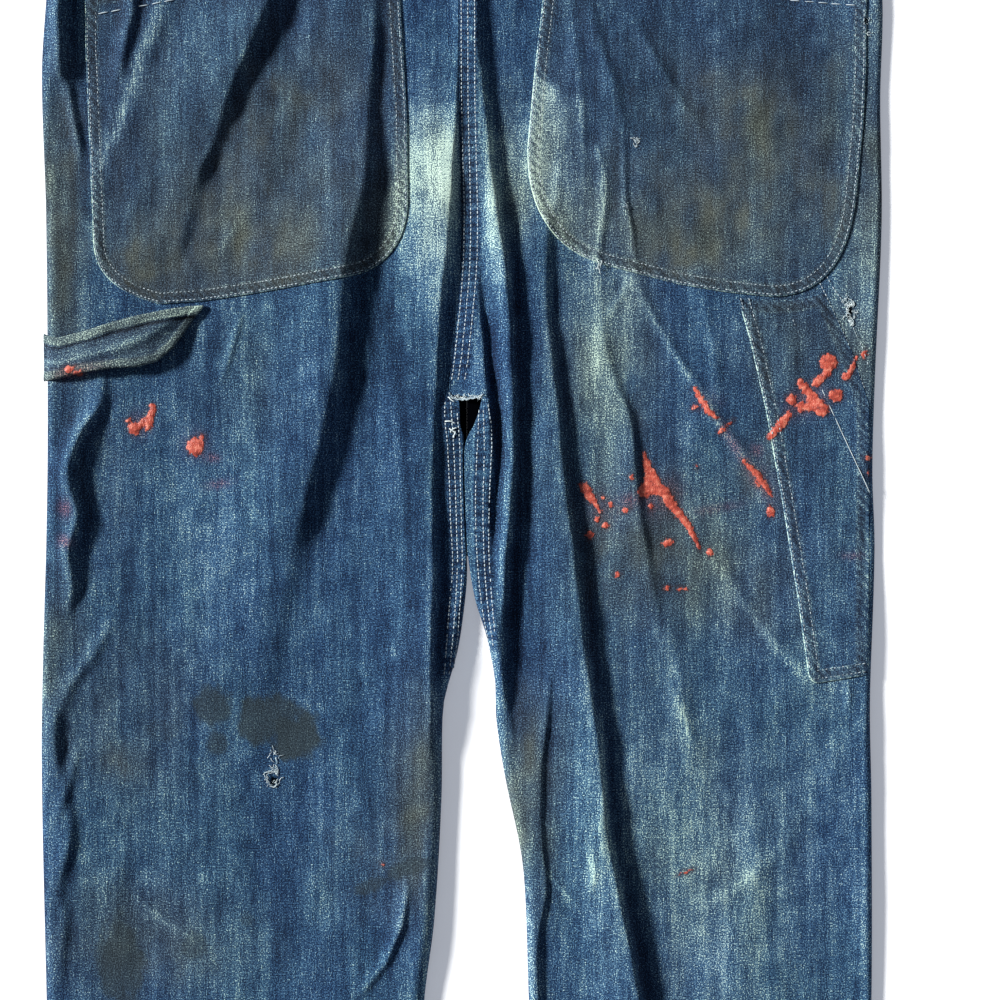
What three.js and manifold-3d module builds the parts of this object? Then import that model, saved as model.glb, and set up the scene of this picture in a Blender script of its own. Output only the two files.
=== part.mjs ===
// Worn denim bib overalls laid flat on a floor, back side up, with the bib end at +Y.
// Units are millimetres and +Z is up. While the pieces are made, x = 0 is near the centre-back seam,
// y = 0 is the crotch and z = 0 is the floor. The finished group is moved so that its origin is the
// middle of its footprint. Left and right are the wearer's: the left leg is at -X.
import * as THREE from "three";
import { mergeVertices } from "three/addons/utils/BufferGeometryUtils.js";
import Module from "manifold-3d";

const wasm = await Module();
wasm.setup();

// Driving dimensions
const CLOTH = 1.5; // thickness of a panel
const PATCH = 1.2; // thickness of a pocket or loop sewn on a panel
const GAP = 0.3; // clearance between neighbouring pieces
const HEM_Y = -760; // trouser hem, so the inseam is 760 long
const WAIST_Y = 345; // joint of the front panels and the bib, top of the side openings
const BACK_TOP_Y = 520; // top of the high back, where the straps are sewn on
const BIB_TOP_Y = 625;
const RISE_OF_RIM = 2 * CLOTH - CLOTH / 2 + GAP; // middle of the back panel where it meets the front
const LOWEST_BACK = CLOTH + GAP; // underside of the back panels where they lie on the front

// Interpolation through hand-placed values. Each pair is [y, value], from the bib end down.
function along(pairs) {
  const last = pairs.length - 1;
  const slope = (i) => {
    const a = pairs[Math.max(i - 1, 0)];
    const b = pairs[Math.min(i + 1, last)];
    return (b[1] - a[1]) / (b[0] - a[0]);
  };
  return (y) => {
    if (y >= pairs[0][0]) return pairs[0][1];
    if (y <= pairs[last][0]) return pairs[last][1];
    const i = pairs.findIndex((p, k) => k < last && y <= p[0] && y > pairs[k + 1][0]);
    const [y0, v0] = pairs[i];
    const [y1, v1] = pairs[i + 1];
    const step = y1 - y0;
    const t = (y - y0) / step;
    const ease = t * t * (3 - 2 * t);
    const in0 = t * (1 - t) * (1 - t) * step * slope(i);
    const in1 = t * t * (t - 1) * step * slope(i + 1);
    return v0 + (v1 - v0) * ease + in0 + in1;
  };
}

const smoothstep = (a, b, v) => THREE.MathUtils.smoothstep(v, a, b);

// Outline of the garment as it lies: x of each edge at a given y
const leftSide = along([
  [BACK_TOP_Y, -76], [490, -86], [450, -108], [415, -134], [385, -170], [362, -222], [350, -262],
  [WAIST_Y - 5, -287], [273, -292], [220, -295], [119, -291.5], [-42, -289.5], [-160, -293],
  [-260, -294.5], [-427, -291], [HEM_Y, -283],
]);
const rightSide = along([
  [BACK_TOP_Y, 76], [490, 86], [450, 108], [415, 134], [385, 170], [362, 222], [350, 262],
  [WAIST_Y - 5, 288], [273, 294], [203, 292.5], [119, 293.5], [14, 289], [-56, 287], [-112, 288.5],
  [-217, 285], [-287, 286], [-427, 286], [HEM_Y, 279],
]);
const leftInner = along([
  [BACK_TOP_Y, -3], [273, -2.8], [200, -2.5], [98, -1], [27, -6.6], [0, -10], [-7, -3], [-24, -2],
  [-33, 0.6], [-42, 0.3], [-50, 0], [-93, 1.2], [-128, 3], [-160, 0], [-184, -4], [-215, -12.6],
  [-231, -14.3], [-287, -15], [-371, -20], [-427, -27], [HEM_Y, -52],
]);
const rightInseam = along([
  [-6, 13.5], [-21, 9.6], [-33, 3.2], [-42, 1.1], [-50, 0.7], [-93, 1.9], [-121, 4.2], [-148, 9],
  [-170, 16], [-202, 22.4], [-231, 23.5], [-273, 30], [-323, 40.6], [-356, 43.8], [-427, 46.2],
  [HEM_Y, 62],
]);
const rightInner = (y) => (y >= 0 ? leftInner(y) + GAP : rightInseam(y));

// Folds of the back panels. A fold's crest runs along x(y) with height h(y) above its surroundings.
// It slopes gently for "lee" on its left and drops within "drop" on its right.
const folds = [
  { // fold of the left leg, from the hip pocket's inner corner down to the knee
    x: along([[290, -52], [237, -56], [195, -59], [171, -67], [97, -80], [50, -87.5], [5, -92],
      [-39, -101], [-77, -112], [-117, -121], [-189, -136], [-300, -150], [HEM_Y, -168]]),
    h: along([[290, 0], [237, 2.5], [195, 3.5], [171, 8], [130, 10], [97, 14], [5, 15], [-39, 12],
      [-77, 11], [-99, 8], [-117, 4], [-189, 1], [-240, 0]]),
    lee: 34, drop: 11,
  },
  { // left seat, rolling down to the centre-back seam and on beside the left inseam
    x: along([[240, -9], [189, -8], [130, -9.5], [94, -12], [61, -15.5], [27, -17.5], [-120, -17.5],
      [-190, -19.5], [-240, -22], [-427, -38], [HEM_Y, -64]]),
    h: along([[260, 0], [189, 4.5], [130, 5.5], [94, 7], [61, 7.5], [27, 6], [5, 5], [-50, 4.5],
      [-150, 5], [-215, 4], [-260, 1], [-330, 0]]),
    lee: 28, drop: 5,
  },
  { // ridge to the right of the centre-back seam
    x: along([[273, 11], [231, 12.6], [192, 19], [147, 24], [117, 28], [83, 33], [50, 35.7], [5, 37],
      [-63, 35.7], [-147, 33.6], [-202, 38], [-300, 54], [-427, 66], [HEM_Y, 82]]),
    h: along([[345, 2], [273, 4.4], [231, 6.9], [147, 8.8], [117, 11.5], [83, 10.8], [50, 9.3],
      [-100, 9.5], [-147, 7.5], [-182, 6], [-207, 0]]),
    lee: 12, drop: 6,
  },
  { // long fold down the right leg from the hip pocket's inner corner
    x: along([[140, 60], [106, 61.5], [72, 60.5], [16, 65], [-77, 74], [-122, 79], [-177, 90],
      [-233, 99.4], [-278, 106.4], [-334, 112], [-427, 124], [-600, 147], [HEM_Y, 165]]),
    h: along([[140, 0], [106, 5], [16, 6.5], [-28, 7], [-77, 9], [-278, 9.5], [-334, 10], [-378, 11],
      [-427, 11], [-550, 9], [-650, 6], [HEM_Y, 3]]),
    lee: 24, drop: 7,
  },
  { // short crease beside it
    x: along([[-20, 118], [-59, 120.4], [-79, 123], [-123, 131], [-175, 136]]),
    h: along([[-20, 0], [-45, 4.5], [-79, 3.5], [-123, 2], [-175, 0]]),
    lee: 14, drop: 6,
  },
  { // diagonal crease over the left hip pocket
    x: along([[290, -125], [262, -136.5], [215, -156], [177, -169], [150, -183], [87, -200]]),
    h: along([[290, 2], [262, 4], [177, 4], [120, 2.5], [70, 0]]),
    lee: 25, drop: 8,
  },
  { // roll along the upper part of the left side
    x: along([[300, -281], [220, -281], [206, -274], [164, -265], [110, -262]]),
    h: along([[330, 0], [273, 8], [220, 6.5], [206, 4], [164, 2], [110, 0]]),
    lee: 9, drop: 9,
  },
  { // wavy crease along the left leg's outer edge
    x: along([[20, -252], [-10, -254], [-31, -267], [-56, -275], [-87, -268], [-112, -274],
      [-140, -273], [-190, -284], [-241, -287], [-276, -285], [-322, -279], [-390, -281]]),
    h: along([[20, 0], [-10, 4], [-31, 6], [-56, 7], [-87, 6], [-112, 6.5], [-140, 4.5], [-175, 0],
      [-215, 0], [-241, 4], [-322, 4], [-357, 3], [-390, 0]]),
    lee: 10, drop: 8,
  },
  { // right inseam's band, standing above the valley beside it
    x: along([[10, 18], [-31, 21.3], [-71, 20], [-111, 19.4], [-147, 21.5], [-180, 24], [-230, 27]]),
    h: along([[6, 0], [-10, 4.5], [-25, 6], [-60, 4.5], [-147, 3.5], [-195, 0]]),
    lee: 14, drop: 3,
  },
  { // worn diagonal crease from the right hip pocket to the rule pocket
    x: along([[79, 120], [52, 133], [21, 151], [3, 164.5], [-26, 182], [-48, 200], [-69, 211]]),
    h: along([[79, 0], [52, 2.5], [-26, 2.5], [-69, 0]]),
    lee: 10, drop: 8,
  },
];

// Height of the middle of the back cloth over the floor
function backHeight(x, y) {
  const inLeft = x < leftInner(y) + GAP / 2;
  const toSide = inLeft ? x - leftSide(y) : rightSide(y) - x;
  const toInner = inLeft ? leftInner(y) - x : x - rightInner(y);
  const roll = (d, puff) => puff * (1 - Math.exp(-Math.pow(d / 6, 1.2))) * (0.3 + 0.7 * Math.exp(-d / 40));
  const legPuff = (inLeft ? 6.5 : 4.5) * (1 - smoothstep(-170, -60, y));
  const calm = 1 - 0.85 * smoothstep(WAIST_Y - 40, WAIST_Y + 60, y);
  let z = roll(Math.max(toSide, 0), 4.2) + roll(Math.max(toInner, 0), legPuff);
  for (const fold of folds) {
    const s = x - fold.x(y);
    const reach = s < 0 ? fold.lee : fold.drop;
    z += fold.h(y) * Math.exp(-((s / reach) ** 2)) * (1 - Math.exp(-Math.max(toSide, 0) / 6));
  }
  return RISE_OF_RIM + 0.6 * (1 - Math.exp(-Math.max(toSide, 0) / 8)) + z * calm;
}

// Vertices of a grid over y rows whose columns follow guide lines, so that crests stay sharp.
// Each guide is [x(y), number of columns up to the next guide].
function guidedGrid(rows, guides) {
  return rows.map((y) => {
    const row = [];
    guides.forEach(([guide, count], k) => {
      const next = k + 1 < guides.length ? guides[k + 1][0](y) : null;
      for (let i = 0; i < count; i++)
        row.push([THREE.MathUtils.lerp(guide(y), next, i / count), y]);
      if (next === null) row.push([guide(y), y]);
    });
    return row;
  });
}

// One closed sheet between two height fields over the same grid of [x, y] points.
function sheet(grid, lower, upper) {
  const ny = grid.length;
  const nx = grid[0].length;
  const position = [];
  for (const field of [lower, upper])
    grid.forEach((row, j) => row.forEach(([x, y], i) => position.push(x, y, field(x, y, i, j))));
  const id = (side, j, i) => (side * ny + j) * nx + i;
  const index = [];
  const quad = (a, b, c, d) => index.push(a, b, c, a, c, d);
  for (let j = 0; j + 1 < ny; j++)
    for (let i = 0; i + 1 < nx; i++) {
      quad(id(1, j, i), id(1, j + 1, i), id(1, j + 1, i + 1), id(1, j, i + 1));
      quad(id(0, j, i), id(0, j, i + 1), id(0, j + 1, i + 1), id(0, j + 1, i));
    }
  for (let j = 0; j + 1 < ny; j++) {
    quad(id(1, j, 0), id(0, j, 0), id(0, j + 1, 0), id(1, j + 1, 0));
    quad(id(1, j + 1, nx - 1), id(0, j + 1, nx - 1), id(0, j, nx - 1), id(1, j, nx - 1));
  }
  for (let i = 0; i + 1 < nx; i++) {
    quad(id(1, 0, i + 1), id(0, 0, i + 1), id(0, 0, i), id(1, 0, i));
    quad(id(1, ny - 1, i), id(0, ny - 1, i), id(0, ny - 1, i + 1), id(1, ny - 1, i + 1));
  }
  const geometry = new THREE.BufferGeometry();
  geometry.setAttribute("position", new THREE.Float32BufferAttribute(position, 3));
  geometry.setIndex(index);
  return geometry;
}

// The heights of a grid's cloth, and how much longer a vertical cut through it is than its thickness
function drapedHeights(grid) {
  const mid = grid.map((row) => row.map(([x, y]) => backHeight(x, y)));
  const stretch = mid.map((row, j) =>
    row.map((z, i) => {
      const i0 = Math.max(i - 1, 0);
      const i1 = Math.min(i + 1, row.length - 1);
      const j0 = Math.max(j - 1, 0);
      const j1 = Math.min(j + 1, mid.length - 1);
      const dx = (row[i1] - row[i0]) / (grid[j][i1][0] - grid[j][i0][0]);
      const dy = (mid[j1][i] - mid[j0][i]) / (grid[j1][i][1] - grid[j0][i][1]);
      return Math.min(Math.sqrt(1 + dx * dx + dy * dy), 1.9);
    }),
  );
  const centre = mid.map((row, j) =>
    row.map((z, i) => Math.max(z, LOWEST_BACK + (stretch[j][i] * CLOTH) / 2)),
  );
  return { centre, stretch };
}

// A panel and everything that lies on it share one grid. "from" and "to" are distances out from the
// middle of the panel's cloth, and "lift" raises the piece further.
function drapedSheet(panel, from, to, lift = () => 0) {
  const { grid, centre, stretch } = panel;
  const field = (d) => (x, y, i, j) => centre[j][i] + stretch[j][i] * d + lift(x, y);
  return sheet(grid, field(from), field(to));
}

function solidOf(geometry) {
  const bare = new THREE.BufferGeometry();
  bare.setAttribute("position", geometry.getAttribute("position"));
  if (geometry.index) bare.setIndex(geometry.index);
  const merged = mergeVertices(bare, 1e-4);
  return new wasm.Manifold(
    new wasm.Mesh({
      numProp: 3,
      vertProperties: new Float32Array(merged.attributes.position.array),
      triVerts: new Uint32Array(merged.index.array),
    }),
  );
}

function geometryOf(solid) {
  const mesh = solid.getMesh();
  const geometry = new THREE.BufferGeometry();
  geometry.setAttribute("position", new THREE.BufferAttribute(new Float32Array(mesh.vertProperties), 3));
  geometry.setIndex(new THREE.BufferAttribute(new Uint32Array(mesh.triVerts), 1));
  return geometry;
}

// A patch sewn on a panel: the panel's own surface moved out, cut to the patch's outline.
function patch(panel, outline, lift) {
  const from = CLOTH / 2 + GAP;
  const cloth = solidOf(drapedSheet(panel, from, from + PATCH, lift));
  const tower = new THREE.ExtrudeGeometry(outline, { depth: 80, bevelEnabled: false, curveSegments: 5 });
  return geometryOf(cloth.intersect(solidOf(tower)));
}

// Back panels
const rows = [
  BACK_TOP_Y, 475, 430, 390, 362, 349, 338, 310, 280, 250, 220, 190, 160, 130, 100, 72, 45, 20, 0,
  -7, -25, -48, -75, -105, -135, -160, -185, -215, -245, -285, -330, -380, -430, -490, -560, -630,
  -700, HEM_Y,
];
const beside = (edge, d) => (y) => edge(y) + d;
const clampBetween = (edgeA, edgeB, guide, share) => (y) => {
  const a = edgeA(y);
  const b = edgeB(y);
  return THREE.MathUtils.clamp(guide(y), a + (b - a) * (share - 0.14), a + (b - a) * (share + 0.14));
};
const foldA = clampBetween(leftSide, leftInner, folds[0].x, 0.66);
const leftPanelGrid = guidedGrid(rows, [
  [leftSide, 1],
  [beside(leftSide, 9), 6],
  [foldA, 1],
  [(y) => THREE.MathUtils.lerp(foldA(y), leftInner(y), 0.22), 3],
  [beside(leftInner, -17), 1],
  [beside(leftInner, -9), 1],
  [leftInner, 0],
]);
const seamRidge = clampBetween(rightInner, rightSide, folds[2].x, 0.12);
const rightPanelGrid = guidedGrid(rows, [
  [rightInner, 1],
  [(y) => THREE.MathUtils.lerp(rightInner(y), seamRidge(y), 0.45), 1],
  [(y) => THREE.MathUtils.lerp(rightInner(y), seamRidge(y), 0.65), 1],
  [seamRidge, 1],
  [clampBetween(rightInner, rightSide, (y) => folds[2].x(y) + 10, 0.17), 2],
  [clampBetween(rightInner, rightSide, folds[3].x, 0.3), 1],
  [clampBetween(rightInner, rightSide, (y) => folds[3].x(y) + 10, 0.36), 7],
  [beside(rightSide, -9), 1],
  [rightSide, 0],
]);
const leftPanel = { grid: leftPanelGrid, ...drapedHeights(leftPanelGrid) };
const rightPanel = { grid: rightPanelGrid, ...drapedHeights(rightPanelGrid) };

// Front panels: flat on the floor under the back, meeting at the crotch and down to the gap
const frontRows = [
  WAIST_Y, 300, 220, 119, 20, -42, -90, -130, -160, -185, -215, -231, -287, -330, -371, -427, -590,
  HEM_Y,
];
const CENTRE_FRONT_X = 3;
const frontLeftInner = (y) => (y > -128 ? CENTRE_FRONT_X - GAP : leftInner(y) - 1);
const frontRightInner = (y) => (y > -118 ? CENTRE_FRONT_X : rightInner(y) + 1);
const flat = (z) => () => z;
const frontSheet = (outer, inner, outerFirst) => {
  const guides = outerFirst ? [[outer, 4], [inner, 0]] : [[inner, 4], [outer, 0]];
  return sheet(guidedGrid(frontRows, guides), flat(0), flat(CLOTH));
};

// Bib: flat on the floor, its upper end raised by the buckles and buttons under it
const BIB_LIFT = 5;
const bibHalf = along([[BIB_TOP_Y, 124], [560, 128], [450, 136], [400, 143], [WAIST_Y, 150]]);
const bibRise = (x, y) => BIB_LIFT * smoothstep(535, 585, y);
const bibRows = [BIB_TOP_Y, 585, 572, 560, 548, 535, 500, 450, 400, WAIST_Y + GAP];
const bibGrid = guidedGrid(bibRows, [[(y) => -bibHalf(y), 8], [bibHalf, 0]]);
const bibSheet = sheet(bibGrid, bibRise, (x, y) => bibRise(x, y) + CLOTH);

// Hip pockets: slanting tops, round lower corners
function outlineShape(points) {
  const [start, ...rest] = points;
  const shape = new THREE.Shape();
  shape.moveTo(...start);
  for (const p of rest) p.length === 2 ? shape.lineTo(...p) : shape.quadraticCurveTo(...p);
  shape.closePath();
  return shape;
}
const hipPocketLeft = outlineShape([
  [-264, 277], [-264, 238], [-260, 147], [-258, 100], [-255, 70, -212, 60], [-183, 62], [-123, 70.7],
  [-89, 76], [-39, 85, -38, 132], [-39, 195], [-46, 308],
]);
const hipPocketRight = outlineShape([
  [56.5, 300], [56, 273], [49.5, 217], [45, 168], [45, 103, 99, 87.5], [151, 74], [182, 68.6],
  [217, 65], [268, 66, 275, 134], [280, 183], [282, 228], [282, 280],
]);
const rulePocket = outlineShape([
  [192.5, 64.5], [201.6, 32], [212, -14], [223.3, -77], [233.8, -144], [241, -197],
  [242, -205, 248, -205], [283, -199], [284, -112], [284, -10], [272, 27], [257, 60],
  [252, 68.5], [236, 62.5, 217, 62.5],
]);
const hammerLoop = outlineShape([
  [-291, 38.5], [-274, 38], [-258, 42], [-222, 51.8], [-187, 57.5], [-181, 58.5], [-187, 50],
  [-196, 38.5], [-206, 18, -232, 15], [-263, 12], [-291, 6],
]);
// The loop stands off the leg between its two sewn ends.
const LOOP_LIFT = 9;
const loopRise = (x) => {
  const t = THREE.MathUtils.clamp((x + 287) / 96, 0, 1);
  return LOOP_LIFT * Math.sin(Math.PI * t) ** 0.8;
};

// Shoulder straps: a flat ribbon swept in the YZ plane, drifting outwards in x
const STRAP_WIDTH = 38;
const BUTTON = { x: 105, y: 600 };
const BUCKLE_BAR = { y: 640, z: 3, wire: 1.2 };
function halfTurn(y, z, radius, outward) {
  const steps = 6;
  return Array.from({ length: steps + 1 }, (_, k) => {
    const a = Math.PI * (0.5 - k / steps) * outward;
    return [y + outward * radius * Math.cos(a), z + radius * Math.sin(a)];
  });
}
function strapPath() {
  const wrap = BUCKLE_BAR.wire + GAP + CLOTH / 2;
  const overBack = [[488, 5.2], [522, 5.2], [548, 5.4], [560, 6.2], [572, 7.2], [588, 7.6], [645, 7.6], [690, 6], [735, 5.2]];
  const shoulder = halfTurn(760, 2.95, 2.2, 1);
  const roundBar = halfTurn(BUCKLE_BAR.y, BUCKLE_BAR.z, wrap, -1);
  const sewnEnd = [[650, 4.6], [662, 3.2], [672, 2.7], [695, 2.7]];
  return [...overBack, ...shoulder, ...roundBar, ...sewnEnd];
}
function strap(side) {
  const path = strapPath();
  const drift = (k, y) => {
    if (k > path.length - 14) return BUTTON.x;
    return THREE.MathUtils.mapLinear(Math.min(y, 740), 488, 740, 52, BUTTON.x);
  };
  const position = [];
  path.forEach(([y, z], k) => {
    const before = path[Math.max(k - 1, 0)];
    const after = path[Math.min(k + 1, path.length - 1)];
    const run = new THREE.Vector2(after[0] - before[0], after[1] - before[1]).normalize();
    for (const [across, out] of [[-1, -1], [1, -1], [1, 1], [-1, 1]]) {
      const x = side * drift(k, y) + (across * STRAP_WIDTH) / 2;
      position.push(x, y - (run.y * out * CLOTH) / 2, z + (run.x * out * CLOTH) / 2);
    }
  });
  const index = [];
  for (let k = 0; k + 1 < path.length; k++)
    for (let c = 0; c < 4; c++) {
      const a = 4 * k + c;
      const b = 4 * k + ((c + 1) % 4);
      index.push(a, b + 4, b, a, a + 4, b + 4);
    }
  const end = 4 * (path.length - 1);
  index.push(0, 1, 2, 0, 2, 3, end, end + 2, end + 1, end, end + 3, end + 2);
  const geometry = new THREE.BufferGeometry();
  geometry.setAttribute("position", new THREE.Float32BufferAttribute(position, 3));
  geometry.setIndex(index);
  return geometry;
}

// Wire buckle: a bar for the strap, tapering to a loop that hooks round the button's shank
function buckle(side) {
  const half = STRAP_WIDTH / 2 + 3;
  const outline = [
    [half - 2, 40], [half, 37], [half - 2, 32], [10, 14], [9, 4], [6.5, -5], [0, -8],
    [-6.5, -5], [-9, 4], [-10, 14], [-half + 2, 32], [-half, 37], [-half + 2, 40],
  ];
  const points = outline.map(([x, y]) => new THREE.Vector3(side * BUTTON.x + x, BUTTON.y + y, BUCKLE_BAR.z));
  const curve = new THREE.CatmullRomCurve3(points, true, "centripetal");
  return new THREE.TubeGeometry(curve, 44, BUCKLE_BAR.wire, 6, true);
}

// Button: a flat head on the floor side and a shank up to the bib
function bibButton() {
  const profile = [
    [0, 0], [8, 0], [8.8, 0.5], [8.8, 1], [8, 1.5], [2, 1.5], [2, BIB_LIFT - GAP], [0, BIB_LIFT - GAP],
  ].map(([r, z]) => new THREE.Vector2(r, z));
  return new THREE.LatheGeometry(profile, 20).rotateX(Math.PI / 2);
}

// Materials
const denim = (colour) => new THREE.MeshStandardMaterial({ color: colour, roughness: 0.92, metalness: 0 });
const backDenim = denim(0x47698c);
const frontDenim = denim(0x3b5878);
const pocketDenim = denim(0x45606f);
const trimDenim = denim(0x5a6a5c);
const wire = new THREE.MeshStandardMaterial({ color: 0xa88a55, roughness: 0.4, metalness: 0.9 });

const garment = new THREE.Group();
function add(name, geometry, material) {
  const mesh = new THREE.Mesh(geometry, material);
  mesh.name = name;
  garment.add(mesh);
  return mesh;
}

add("front_left", frontSheet(leftSide, frontLeftInner, true), frontDenim);
add("front_right", frontSheet(rightSide, frontRightInner, false), frontDenim);
add("bib", bibSheet, frontDenim);
add("back_left", drapedSheet(leftPanel, -CLOTH / 2, CLOTH / 2), backDenim);
add("back_right", drapedSheet(rightPanel, -CLOTH / 2, CLOTH / 2), backDenim);
add("hip_pocket_left", patch(leftPanel, hipPocketLeft), pocketDenim);
add("hip_pocket_right", patch(rightPanel, hipPocketRight), pocketDenim);
add("rule_pocket", patch(rightPanel, rulePocket), pocketDenim);
add("hammer_loop", patch(leftPanel, hammerLoop, loopRise), trimDenim);
for (const [name, side] of [["left", -1], ["right", 1]]) {
  add("strap_" + name, strap(side), trimDenim);
  add("buckle_" + name, buckle(side), wire);
  add("bib_button_" + name, bibButton(), wire).position.set(side * BUTTON.x, BUTTON.y, 0);
}

// The part's origin is the middle of its footprint, on the floor.
garment.updateMatrixWorld(true);
const extent = new THREE.Box3().setFromObject(garment);
const middle = extent.getCenter(new THREE.Vector3());
garment.position.set(-middle.x, -middle.y, -extent.min.z);

export default garment;
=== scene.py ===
"""Worn denim bib overalls, spattered with paint, laid flat with the back up.

Shapes are worked out in millimetres from the crotch, as the garment lies: x to the wearer's right,
y towards the bib and z up from the floor. make_mesh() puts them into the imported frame, in metres.
"""
import math

import bpy
import numpy as np
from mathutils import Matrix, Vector
from mathutils.geometry import delaunay_2d_cdt


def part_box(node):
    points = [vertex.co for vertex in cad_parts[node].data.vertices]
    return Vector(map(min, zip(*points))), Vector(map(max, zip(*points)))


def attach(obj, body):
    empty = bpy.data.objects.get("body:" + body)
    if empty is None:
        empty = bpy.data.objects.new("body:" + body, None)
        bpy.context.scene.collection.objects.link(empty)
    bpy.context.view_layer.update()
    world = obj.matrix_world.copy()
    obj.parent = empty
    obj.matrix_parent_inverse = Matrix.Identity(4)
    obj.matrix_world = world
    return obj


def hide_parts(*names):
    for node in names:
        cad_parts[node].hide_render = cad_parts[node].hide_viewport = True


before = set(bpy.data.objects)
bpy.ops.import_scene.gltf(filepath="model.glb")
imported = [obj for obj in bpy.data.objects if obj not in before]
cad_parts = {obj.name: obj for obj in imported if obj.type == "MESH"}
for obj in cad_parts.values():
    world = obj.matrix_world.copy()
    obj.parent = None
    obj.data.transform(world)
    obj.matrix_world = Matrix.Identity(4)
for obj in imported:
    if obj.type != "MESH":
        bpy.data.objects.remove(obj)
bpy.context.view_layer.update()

# Driving dimensions, in millimetres
MM = 0.001
HEM_Y = -760.0
WAIST_Y = 345.0
BACK_TOP_Y = 520.0
BIB_TOP_Y = 625.0
LEFTMOST_X = -295.0
CLOTH = 1.2  # thickness of one layer of denim
RIM_Z = 1.7  # height at which a back panel meets the front
STITCH_PITCH = 2.9
FAR = 1e9  # further than anything on the garment
SHIFT = np.array([
    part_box("back_left")[0].x / MM - LEFTMOST_X,
    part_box("back_left")[0].y / MM - HEM_Y,
    0.0,
])


# ---------------------------------------------------------------- small mathematics

class Along:
    """A smooth curve value(y) through (y, value) pairs, listed from the bib end down."""

    def __init__(self, *pairs):
        self.y, self.v = np.array(pairs, float)[::-1].T
        inner = (self.v[2:] - self.v[:-2]) / (self.y[2:] - self.y[:-2])
        ends = (self.v[[1, -1]] - self.v[[0, -2]]) / (self.y[[1, -1]] - self.y[[0, -2]])
        self.slope = np.concatenate([ends[:1], inner, ends[1:]])

    def __call__(self, y):
        y = np.clip(y, self.y[0], self.y[-1])
        i = np.clip(np.searchsorted(self.y, y, side="right") - 1, 0, len(self.y) - 2)
        step = self.y[i + 1] - self.y[i]
        t = (y - self.y[i]) / step
        bend = (1 - t) * self.slope[i] - t * self.slope[i + 1]
        ease = t * t * (3 - 2 * t)
        return self.v[i] + (self.v[i + 1] - self.v[i]) * ease + step * t * (1 - t) * bend


def smoothstep(a, b, v):
    t = np.clip((v - a) / (b - a), 0, 1)
    return t * t * (3 - 2 * t)


def ripple(x, y, wave, tall=1.0, seed=0, count=9):
    """A smooth random undulation, about -1 to 1, with waves "tall" times longer along y."""
    draw = np.random.default_rng(seed)
    total = np.zeros(np.broadcast(x, y).shape)
    for _ in range(count):
        turn, phase = draw.uniform(0, math.tau, 2)
        k = math.tau / (wave * draw.uniform(0.7, 1.6))
        total += np.cos(k * (x * math.cos(turn) + y * math.sin(turn) / tall) + phase)
    return total * math.sqrt(2 / count) / 1.7


def plateau(d, start, end, shoulder):
    """1 between start and end, falling to 0 within the shoulder on either side."""
    return smoothstep(start - shoulder, start, d) * (1 - smoothstep(end, end + shoulder, d))


def hand(side):
    return "left" if side < 0 else "right"


def distances_along(line):
    """Length of a line of points up to each of them."""
    return np.concatenate([[0], np.cumsum(np.hypot(*np.diff(line, axis=0).T))])


def in_oval(x, y, cx, cy, rx, ry, turn):
    """Coordinates in a turned oval's own axes, in which its edge is at distance 1."""
    c, s = math.cos(math.radians(turn)), math.sin(math.radians(turn))
    return ((x - cx) * c + (y - cy) * s) / rx, ((y - cy) * c - (x - cx) * s) / ry


def to_route(x, y, route):
    """Signed distance (positive on the right of the way down) and share along a route of points."""
    best = np.full(x.shape, FAR)
    signed, share = np.zeros(x.shape), np.zeros(x.shape)
    route = np.array(route, float)
    lengths = np.hypot(*np.diff(route, axis=0).T)
    start = 0.0
    for (ax, ay), (bx, by), length in zip(route[:-1], route[1:], lengths):
        ux, uy = (bx - ax) / length, (by - ay) / length
        t = np.clip((x - ax) * ux + (y - ay) * uy, 0, length)
        dx, dy = x - ax - t * ux, y - ay - t * uy
        d = np.hypot(dx, dy)
        near = d < best
        best = np.where(near, d, best)
        signed = np.where(near, np.where(dy * ux - dx * uy > 0, d, -d), signed)
        share = np.where(near, (start + t) / lengths.sum(), share)
        start += length
    return signed, share


# ---------------------------------------------------------------- outline as it lies

left_side = Along(
    (520, -76), (490, -86), (450, -108), (415, -134), (385, -170), (362, -222), (350, -262),
    (340, -287), (273, -292), (220, -295), (119, -292), (-42, -291), (-160, -293),
    (-260, -294.5), (-427, -291), (-760, -283),
)
right_side = Along(
    (520, 76), (490, 86), (450, 108), (415, 134), (385, 170), (362, 222), (350, 262),
    (340, 288), (273, 294), (203, 292.5), (119, 293.5), (14, 289), (-56, 287), (-112, 288.5),
    (-217, 285), (-287, 286), (-427, 286), (-760, 279),
)
left_inner = Along(
    (520, -3), (273, -2.8), (200, -2.5), (98, -1), (27, -6.6), (0, -10), (-7, -3), (-24, -2),
    (-33, 0.6), (-42, 0.3), (-50, 0), (-93, 1.2), (-128, 3), (-160, 0), (-184, -4), (-215, -12.6),
    (-231, -14.3), (-287, -15), (-371, -20), (-427, -27), (-760, -52),
)
right_inseam = Along(
    (-6, 13.5), (-21, 9.6), (-33, 3.2), (-42, 1.1), (-50, 0.7), (-93, 1.9), (-121, 4.2), (-148, 9),
    (-170, 16), (-202, 22.4), (-231, 23.5), (-273, 30), (-323, 40.6), (-356, 43.8), (-427, 46.2),
    (-760, 62),
)
SEAM_GAP = 0.3
CROTCH_TEAR = (-3.0, -6.0)  # the back seam has torn open sideways between these heights


def right_inner(y):
    seam = left_inner(np.maximum(y, 0)) + SEAM_GAP
    torn = smoothstep(CROTCH_TEAR[0], CROTCH_TEAR[1], y)
    return seam + (right_inseam(y) - seam) * torn


# ---------------------------------------------------------------- folds of the back panels

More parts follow.
